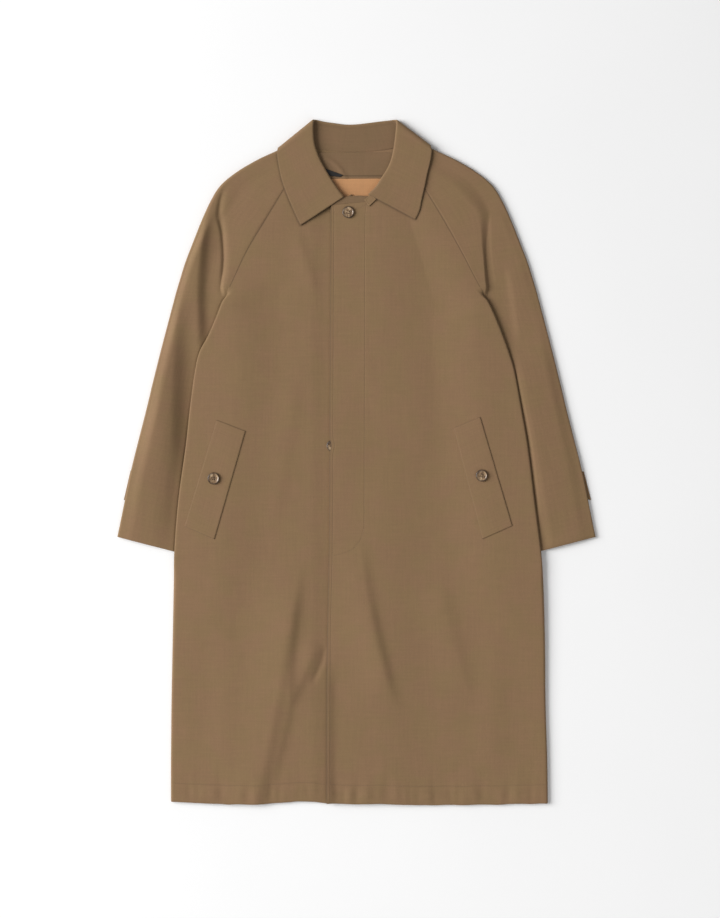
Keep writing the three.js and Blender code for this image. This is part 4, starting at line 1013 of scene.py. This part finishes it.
def back_grid():
    """Points of the back: flat on the surface, lifted at its sides over the tucked sleeves."""
    grid = []
    for inner_y in SLEEVE_SECTIONS["inner_y"][:RAGLAN_SECTIONS]:
        right, left = (
            back_seam(side, inner_y)
            - [SIGN[side] * (2 * SEAM + wrap_amount(inner_y) * side_reach(side, inner_y)), 0]
            for side in SIDES
        )
        x = lerp(right[0], left[0], BACK_SHARES)
        y = np.full_like(x, right[1])
        if inner_y == TOP_ROW:
            y = 531.5 + 6 * (2 * np.abs(BACK_SHARES - 0.5)) ** 2
        near = np.minimum(BACK_SHARES, 1 - BACK_SHARES) < 0.05
        z = np.where(near, np.maximum(side_seam_height(inner_y), back_height(x, y)), back_height(x, y))
        grid.append(np.column_stack([x, y, z]))
    for y in BACK_ROWS:
        right, left = (body_edge(side, y) - SIGN[side] * side_reach(side, y) for side in SIDES)
        ramp = tucked_inner(y) - BACK_RAMP_INSET
        right_ramp = max(-ramp, right + BACK_RAMP_LEAST)
        left_ramp = min(ramp, left - BACK_RAMP_LEAST)
        x = np.array([right, right_ramp - BACK_RAMP_TOP, right_ramp + BACK_RAMP_FOOT, -150, -75, 0,
                      75, 150, left_ramp - BACK_RAMP_FOOT, left_ramp + BACK_RAMP_TOP, left])
        z = back_height(x, y)
        z[[0, 1, 9, 10]] = np.maximum(side_seam_height(y), z[[0, 1, 9, 10]])
        grid.append(np.column_stack([x, np.full_like(x, y), z]))
    return refine(np.array(grid), 7, 7)


def entries(table):
    """The rows of a table, each by its columns' names."""
    return [dict(zip(table, values)) for values in zip(*table.values())]


def pair(entry, name):
    return np.array([entry[name + "_x"], entry[name + "_y"]])


def fall_section(entry, stand, fall, edge):
    roll, tip = pair(entry, "roll"), pair(entry, "tip")
    outward = unit(tip - roll)
    points = [[*(roll + outward * inset), lerp(stand, fall, rise)] for inset, rise in ROLL_TURN]
    start = roll + outward * ROLL_TURN[-1][0]
    for share in np.arange(1, FALL_ROWS + 1) / FALL_ROWS:
        points.append([*lerp(start, tip, share), lerp(fall, edge, share)])
    return points


def fold_frame(line):
    roll, tip = np.array(line["roll"]), np.array(line["tip"])
    along = unit(tip - roll)
    outward = np.array([-along[1], along[0]])
    return roll, tip, along, outward if outward[1] > 0 else -outward


def approach(point, beside, outward):
    """Direction in which a layer comes to a point of the fold line, for 1 mm square to the line."""
    run = point - np.array(beside[:2])
    return run / (run @ outward)


def approach_at(angle, upper, lower):
    """The upper layer's direction on the way to the fold's edge, the lower one's on the way back."""
    return lerp(upper, lower, np.clip(angle / (math.pi / 2) - 0.5, 0, 1))


def fall_fold(line, above, below):
    roll, tip, along, outward = fold_frame(line)
    depth = FALL_FOLD["radius"] + HALF_CLOTH
    first = ROLL_TURN[-1][0]
    reach = np.linalg.norm(tip - roll) - first
    places = [*ROLL_TURN, *((first + reach * share, 1) for share in np.arange(1, FALL_ROWS + 1) / FALL_ROWS)]
    sections = []
    for angle in np.linspace(0, math.pi, FOLD_STEPS + 1):
        points = []
        for (inset, rise), upper, lower in zip(places, above, below):
            radius = lerp(STAND_FOLD["radius"], FALL_FOLD["radius"], rise)
            middle = lerp(STAND_FOLD["middle"], FALL_FOLD["middle"], rise)
            place = roll + along * inset
            way = approach_at(angle, approach(place, upper, outward), approach(place, lower, outward))
            place = place + way * (radius * math.sin(angle) - depth)
            points.append([*place, middle + radius * math.cos(angle)])
        sections.append(points)
    return sections


def fall_grid():
    low = STAND_FOLD["middle"] - STAND_FOLD["radius"]

    def on_side(side):
        return [fall_section(e, e["stand"], e["fall"], e["edge"]) for e in entries(COLLAR[side])]

    right, left = on_side("right"), on_side("left")
    back = [fall_section(entry, low, FLOOR_LAYER, FLOOR_LAYER) for entry in entries(BACK_COLLAR)]
    return np.array([
        *right, *fall_fold(FOLD_LINE["right"], right[-1], back[0]), *back,
        *fall_fold(FOLD_LINE["left"], left[-1], back[-1])[::-1], *left[::-1],
    ])


def stand_section(entry, neck_height, roll_height):
    roll, neck = pair(entry, "roll"), pair(entry, "neck")
    end = roll if "tip_x" not in entry else roll + unit(pair(entry, "tip") - roll) * STAND_INSET
    start = neck + unit(roll - neck) * 4 * SEAM
    return [[*lerp(start, end, t), lerp(neck_height, roll_height, t)] for t in np.linspace(0, 1, STAND_ROWS)]


def stand_fold(line, above, below):
    roll, _, along, outward = fold_frame(line)
    edge = roll + along * STAND_FOLD["inset"]
    depth = FALL_FOLD["radius"] + HALF_CLOTH
    sections = []
    for angle in np.linspace(0, math.pi, FOLD_STEPS + 1):
        lift = STAND_FOLD["middle"] + STAND_FOLD["radius"] * math.cos(angle)
        out = STAND_FOLD["radius"] * math.sin(angle)
        way = approach_at(angle, approach(edge, above, outward), approach(edge, below, outward))
        top = edge + way * (out - depth)
        neck = np.array(line["neck"]) + outward * out
        sections.append([[*lerp(neck, top, t), lift] for t in np.linspace(0, 1, STAND_ROWS)])
    return sections


def stand_grid():
    low = STAND_FOLD["middle"] - STAND_FOLD["radius"]
    high = STAND_FOLD["middle"] + STAND_FOLD["radius"]

    def on_side(side):
        sections = []
        for entry in entries(STAND_END[side]) + entries(COLLAR[side]):
            over = entry["neck_y"] > STAND_OVER_Y
            neck_height = high if over else float(front_height(side, entry["neck_x"], entry["neck_y"]))
            sections.append(stand_section(entry, neck_height, entry["stand"]))
        return sections

    right, left = on_side("right"), on_side("left")
    back = [stand_section(entry, low, low) for entry in entries(BACK_COLLAR)]
    return np.array([
        *right, *stand_fold(FOLD_LINE["right"], right[-1][-1], back[0][-1]), *back,
        *stand_fold(FOLD_LINE["left"], left[-1][-1], back[-1][-1])[::-1], *left[::-1],
    ])


def patch_grid(corners, height, step):
    """Points of a patch between four corners, at the height given for each."""
    a, b, c, d = (np.array(p, float) for p in corners)
    down = stations([0, 1], step / np.linalg.norm(d - a))[:, None, None]
    across = stations([0, 1], step / np.linalg.norm(b - a))[None, :, None]
    place = lerp(lerp(a, d, down), lerp(b, c, down), across)
    return np.dstack([place, height(place[..., 0], place[..., 1])])


def inset_of(grid, sides="tblr"):
    """Distance of each point of a grid from the sides named, top, bottom, left and right of the grid."""
    down, across = lengths_along(grid, 0)[:, None], lengths_along(grid, 1)[None, :]
    distances = {"t": down, "b": down[-1] - down, "l": across, "r": across[:, -1:] - across}
    return np.minimum.reduce([distances[s] + np.zeros(grid.shape[:2]) for s in sides])


def welt(side):
    """A pocket welt, pressed flat on the front that it is sewn to."""
    def height(x, y):
        return front_surface(side, x, y) + WELT_RISE + 0.1 * lattice(x, y, (17, 24), 41)
    grid = patch_grid(WELTS[side], height, 2.2)
    # Painted shade on the welt's rims
    make(f"pocket_welt_{side}", grid, {"line_shadow": shade(inset_of(grid), *RIM_SHADOW["welt"])})


def cuff_strap(side):
    grid = patch_grid(CUFF_STRAPS[side], lambda x, y: FLOOR_LAYER + 0.05 * lattice(x, y, (9, 9), 51), 2)
    make(f"cuff_strap_{side}", grid, {"line_edge": inset_of(grid) - EDGE_STITCH})


WELT_RISE = 1.0
BUTTON_RADIUS = 10.3
BUTTON_PROFILE = (
    (0, 0), (6.0, 0), (8.6, 0.15), (9.7, 0.7), (10.25, 1.5), (10.1, 2.3), (9.5, 2.9), (8.9, 3.12),
    (8.3, 3.02), (7.6, 2.6), (6.6, 2.2), (5.2, 2.02), (3.8, 1.95), (2.2, 1.92), (0.01, 1.92),
)
BUTTON_RIM = (7.4, 9.2)
BUTTON_SPOKES = 72
BUTTON_HOLE = 1.0
HOLE_OFFSET = 1.9
HOLE_DEPTH = 1.5
BUTTON_THREAD = 0.22
THREAD_LANES = (-0.35, 0, 0.35)
THREAD_SIDES = 6


def button(name, place, height, above, turn, flatter=1.0):
    """A dished horn button with a raised rim and four holes, its thread crossing between them."""
    x, y = place
    reach = BUTTON_RADIUS
    slope_x = (height(x + reach, y) - height(x - reach, y)) / (2 * reach)
    slope_y = (height(x, y + reach) - height(x, y - reach)) / (2 * reach)
    normal = Vector((-slope_x, -slope_y, 1)).normalized()
    seat = Vector((x, y, float(height(x, y)))) + normal * above
    tilt = Vector((0, 0, 1)).rotation_difference(normal)
    fine = sample(BUTTON_PROFILE, 0.3)
    angles = np.arange(BUTTON_SPOKES) / BUTTON_SPOKES * math.tau
    points = np.array([[r * math.cos(a), r * math.sin(a), z] for r, z in fine for a in angles])
    quarters = [turn + q * math.pi / 2 for q in range(4)]
    holes = [np.array([math.cos(q), math.sin(q)]) * HOLE_OFFSET * math.sqrt(2) for q in quarters]
    for hole in holes:
        near = np.linalg.norm(points[:, :2] - hole, axis=1)
        sunk = 1 - smoothstep(BUTTON_HOLE * 0.75, BUTTON_HOLE * 1.15, near)
        points[:, 2] -= np.where(points[:, 2] > 1, sunk * HOLE_DEPTH, 0)
    points[:, 2] *= flatter
    placed = [(tilt @ Vector(p) + seat) * MM for p in points]
    mesh = new_mesh(name, placed, tube_faces(0, len(fine), BUTTON_SPOKES))
    set_values(mesh, "rim", "FLOAT", np.repeat(smoothstep(*BUTTON_RIM, fine[:, 0]), BUTTON_SPOKES))
    add(name + "_horn", mesh, HORN, name)
    across = holes[1] - holes[0]
    across = np.array([-across[1], across[0]]) / np.linalg.norm(across)
    threads = []
    for start, end in ((holes[0], holes[1]), (holes[3], holes[2])):
        for lane in THREAD_LANES:
            path = []
            for t in np.linspace(0, 1, 9):
                rise = (1.55 + 0.85 * math.sin(math.pi * t) ** 0.5) * flatter
                at = lerp(start, end, t) + across * lane
                path.append(tuple(tilt @ Vector((*at, rise)) + seat))
            threads.append(path)
    tubes(name + "_thread", threads, BUTTON_THREAD)


def tube_faces(start, count, sides):
    """Faces round that many rings of points, closed at both ends."""
    faces = []
    last = start + (count - 1) * sides
    for first in range(start, last, sides):
        for j in range(sides):
            k = (j + 1) % sides
            faces.append([first + j, first + k, first + sides + k, first + sides + j])
    return [*faces, [start + j for j in range(sides)][::-1], [last + j for j in range(sides)]]


def tubes(name, paths, radius):
    """Round threads along paths, joined in one piece and narrowed at both ends."""
    points, faces = [], []
    angles = np.arange(THREAD_SIDES) / THREAD_SIDES * math.tau
    for path in paths:
        path = np.asarray(path, float)
        forward = unit(np.gradient(path, axis=0))
        right = unit(np.cross(forward, [0, 0, 1.0]))
        up = np.cross(right, forward)
        faces += tube_faces(len(points), len(path), THREAD_SIDES)
        for i in range(len(path)):
            width = radius * (0.45 if i in (0, len(path) - 1) else 1)
            for a in angles:
                points.append(path[i] + right[i] * width * math.cos(a) + up[i] * width * math.sin(a))
    add(name, new_mesh(name, (np.array(points) * MM).tolist(), faces), THREAD)


STITCH_PITCH = 3.4
STITCH_LENGTH = 2.5
STITCH_SHAPE = ((-0.5, 0.32), (-0.25, 0.05), (0.25, 0.05), (0.5, 0.32))
THREAD_RADIUS = 0.24
RAY_START = 0.1
BUTTONHOLE = ((-4, 431.5), (16, 441))
WELT_HOLE = (10.8, 15.5)
HOLE_PITCH = 1.7
HOLE_STITCH = 1.2


def stitches(name, carrier, lines, pitch=STITCH_PITCH, length=STITCH_LENGTH):
    """A row of stitches along each line, laid on the surface of the sheet named as carrier."""
    tree = BVHTree.FromObject(SHEETS[carrier], bpy.context.evaluated_depsgraph_get())
    paths = []
    for line in lines:
        line = np.asarray(line, float)
        reach = lengths(line)
        for centre in np.arange(pitch / 2, reach[-1], pitch):
            path = []
            for t, sink in STITCH_SHAPE:
                x, y = (np.interp(centre + t * length, reach, line[:, k]) for k in (0, 1))
                start = Vector((x * MM, y * MM, RAY_START))
                hit, normal, _, _ = tree.ray_cast(start, Vector((0, 0, -1)))
                if hit is None:
                    break
                path.append(tuple((hit / MM) - normal * sink))
            if len(path) == len(STITCH_SHAPE):
                paths.append(path)
    tubes(name, paths, THREAD_RADIUS)


def dress():
    """All the sheets of the coat, in the order in which they lie."""
    make("back_panel", back_grid())
    for side in SIDES:
        sleeve(side)
        cuff_strap(side)
    for side in SIDES:
        front(side)
    make("fly_facing", patch_grid(FLY_FACING, lambda x, y: FACING_LAYER + ripple(x, y), 6))
    crease = bezier((-52, 521), (-30, 512), (-19, 487))

    def facing_height(x, y):
        away = off_line(crease, x, y)[0]
        level = back_height(x, y) + CLOTH + LAYER_GAP - 0.5 * np.exp(-(((y - FACING_LINE_Y) / 1.3) ** 2))
        return level + 0.9 * np.exp(-((away / 4.5) ** 2)) + 0.2 * lattice(x, y, (18, 14), 61)

    def lining_height(x, y):
        level = back_height(x, y) + HALF_CLOTH + LAYER_GAP + THIN_CLOTH / 2
        return level + 0.25 * lattice(x, y, (22, 15), 62)

    def label_height(x, y):
        return facing_height(x, y) + HALF_CLOTH + LABEL_GAP + THIN_CLOTH / 2

    facing = patch_grid(NECK_FACING, facing_height, 1.2)
    # Painted shadow line along the facing's dip
    make("neck_facing", facing, {"line_shadow": facing[..., 1] - FACING_LINE_Y}, material=COAT_NECK_SHADE)
    lining = patch_grid(LINING_CORNERS, lining_height, 1.8)
    make("lining", lining, thickness=THIN_CLOTH, material=LINING)
    label = patch_grid(LABEL_CORNERS, label_height, 1.2)
    make("neck_label", label, thickness=THIN_CLOTH, material=LABEL)

    fall = refine(fall_grid(), 2.4, 2.4)
    # Painted shade on the collar fall's free rims
    make("collar_fall", fall, {"line_shadow": shade(inset_of(fall, "tbr"), *RIM_SHADOW["fall"])})
    stand = refine(stand_grid(), 2.6, 2.0)
    make("collar_stand", stand, {"line_edge": inset_of(stand, "r") - STAND_STITCH}, material=COAT_NECK_SHADE)
    end = patch_grid(END_CORNERS, lambda x, y: STAND_END_LAYER + 0.05 * np.maximum(x - 20, 0), 1)
    make("stand_end", end, {"line_edge": inset_of(end) - STAND_STITCH}, thickness=THIN_CLOTH)
    for side in SIDES:
        welt(side)


LABEL_GAP = 0.4
STAND_STITCH = 2.2
STAND_END_LAYER = 10.6
BUTTON_SEAT = HALF_CLOTH + LAYER_GAP * 0.4
WELT_BUTTON_SEAT = CLOTH + HALF_CLOTH + 0.2

dress()
button("button_neck", NECK_BUTTON, lambda x, y: front_surface("left", x, y), BUTTON_SEAT, 0.5)
button("button_fly", FLY_BUTTON, lambda x, y: FACING_LAYER + 0 * x, BUTTON_SEAT, 0.2, flatter=0.6)
for side, turn in (("right", 0.9), ("left", 0.35)):
    button(f"button_welt_{side}", WELT_BUTTON[side],
           lambda x, y, side=side: front_surface(side, x, y), WELT_BUTTON_SEAT, turn)


def hem_line(start, end, count):
    x = np.linspace(start, end, count)
    return np.column_stack([x, hem_height(x) + HEM_STITCH])


# Rows of stitching that show
edge_y = np.linspace(430, -584, 120)
edge_line = np.column_stack([front_edge(edge_y) + EDGE_STITCH, edge_y])
fly_line = [p for p in sample(FLY_LINE, 6) if p[1] < 428 and p[0] > -41]
stitches("stitching_front_left", "front_left", [edge_line, fly_line, hem_line(-44, 322, 60)])
stitches("stitching_front_right", "front_right", [hem_line(-313, -54, 50)])
stitches("buttonhole_neck", "front_left", [BUTTONHOLE], HOLE_PITCH, HOLE_STITCH)
for side in SIDES:
    x, y = WELT_BUTTON[side]
    ends = [(x - SIGN[side] * reach, y + 1) for reach in WELT_HOLE]
    stitches(f"buttonhole_welt_{side}", f"pocket_welt_{side}", [ends], HOLE_PITCH, HOLE_STITCH)


FLOOR_REACH = 8.0


def floor():
    mesh = bpy.data.meshes.new("floor")
    reach = FLOOR_REACH
    corners = [(-reach, -reach, 0), (reach, -reach, 0), (reach, reach, 0), (-reach, reach, 0)]
    mesh.from_pydata(corners, [], [(0, 1, 2, 3)])
    piece = bpy.data.objects.new("floor", mesh)
    bpy.context.collection.objects.link(piece)
    n = Nodes("floor")
    tone = n.remap(n.noise(n.place(), 3.0), 0, 1, 0.94, 0.97)
    mesh.materials.append(n.set(Base_Color=n.grey(tone), Roughness=0.9))


def area_light(name, place, target, size, watts):
    data = bpy.data.lights.new(name, "AREA")
    data.shape = "RECTANGLE"
    data.size, data.size_y = size
    data.energy = watts
    light = bpy.data.objects.new(name, data)
    light.location = place
    light.rotation_euler = (Vector(target) - Vector(place)).to_track_quat("-Z", "Y").to_euler()
    bpy.context.collection.objects.link(light)


def studio():
    """Soft light from the picture's upper left, with a broad fill, and the camera straight above."""
    area_light("key", (-6.4, 1.1, 4.0), (0, 0, 0), (4.8, 4.8), 800)
    area_light("fill", (1.2, -2.2, 2.4), (0, -0.15, 0), (3.0, 3.0), 19)
    world = bpy.data.worlds.new("room")
    world.use_nodes = True
    background = world.node_tree.nodes["Background"].inputs
    background[0].default_value = (1.0, 1.0, 1.0, 1.0)
    background[1].default_value = 0.27
    bpy.context.scene.world = world
    camera = bpy.data.cameras.new("camera")
    camera.lens = 85
    camera.sensor_width = 36
    camera.clip_end = 20
    eye = bpy.data.objects.new("camera", camera)
    eye.location = (0.006, 0.0043, 3.73)
    bpy.context.collection.objects.link(eye)
    bpy.context.scene.camera = eye
    bpy.context.scene.view_settings.view_transform = "Standard"


floor()
studio()
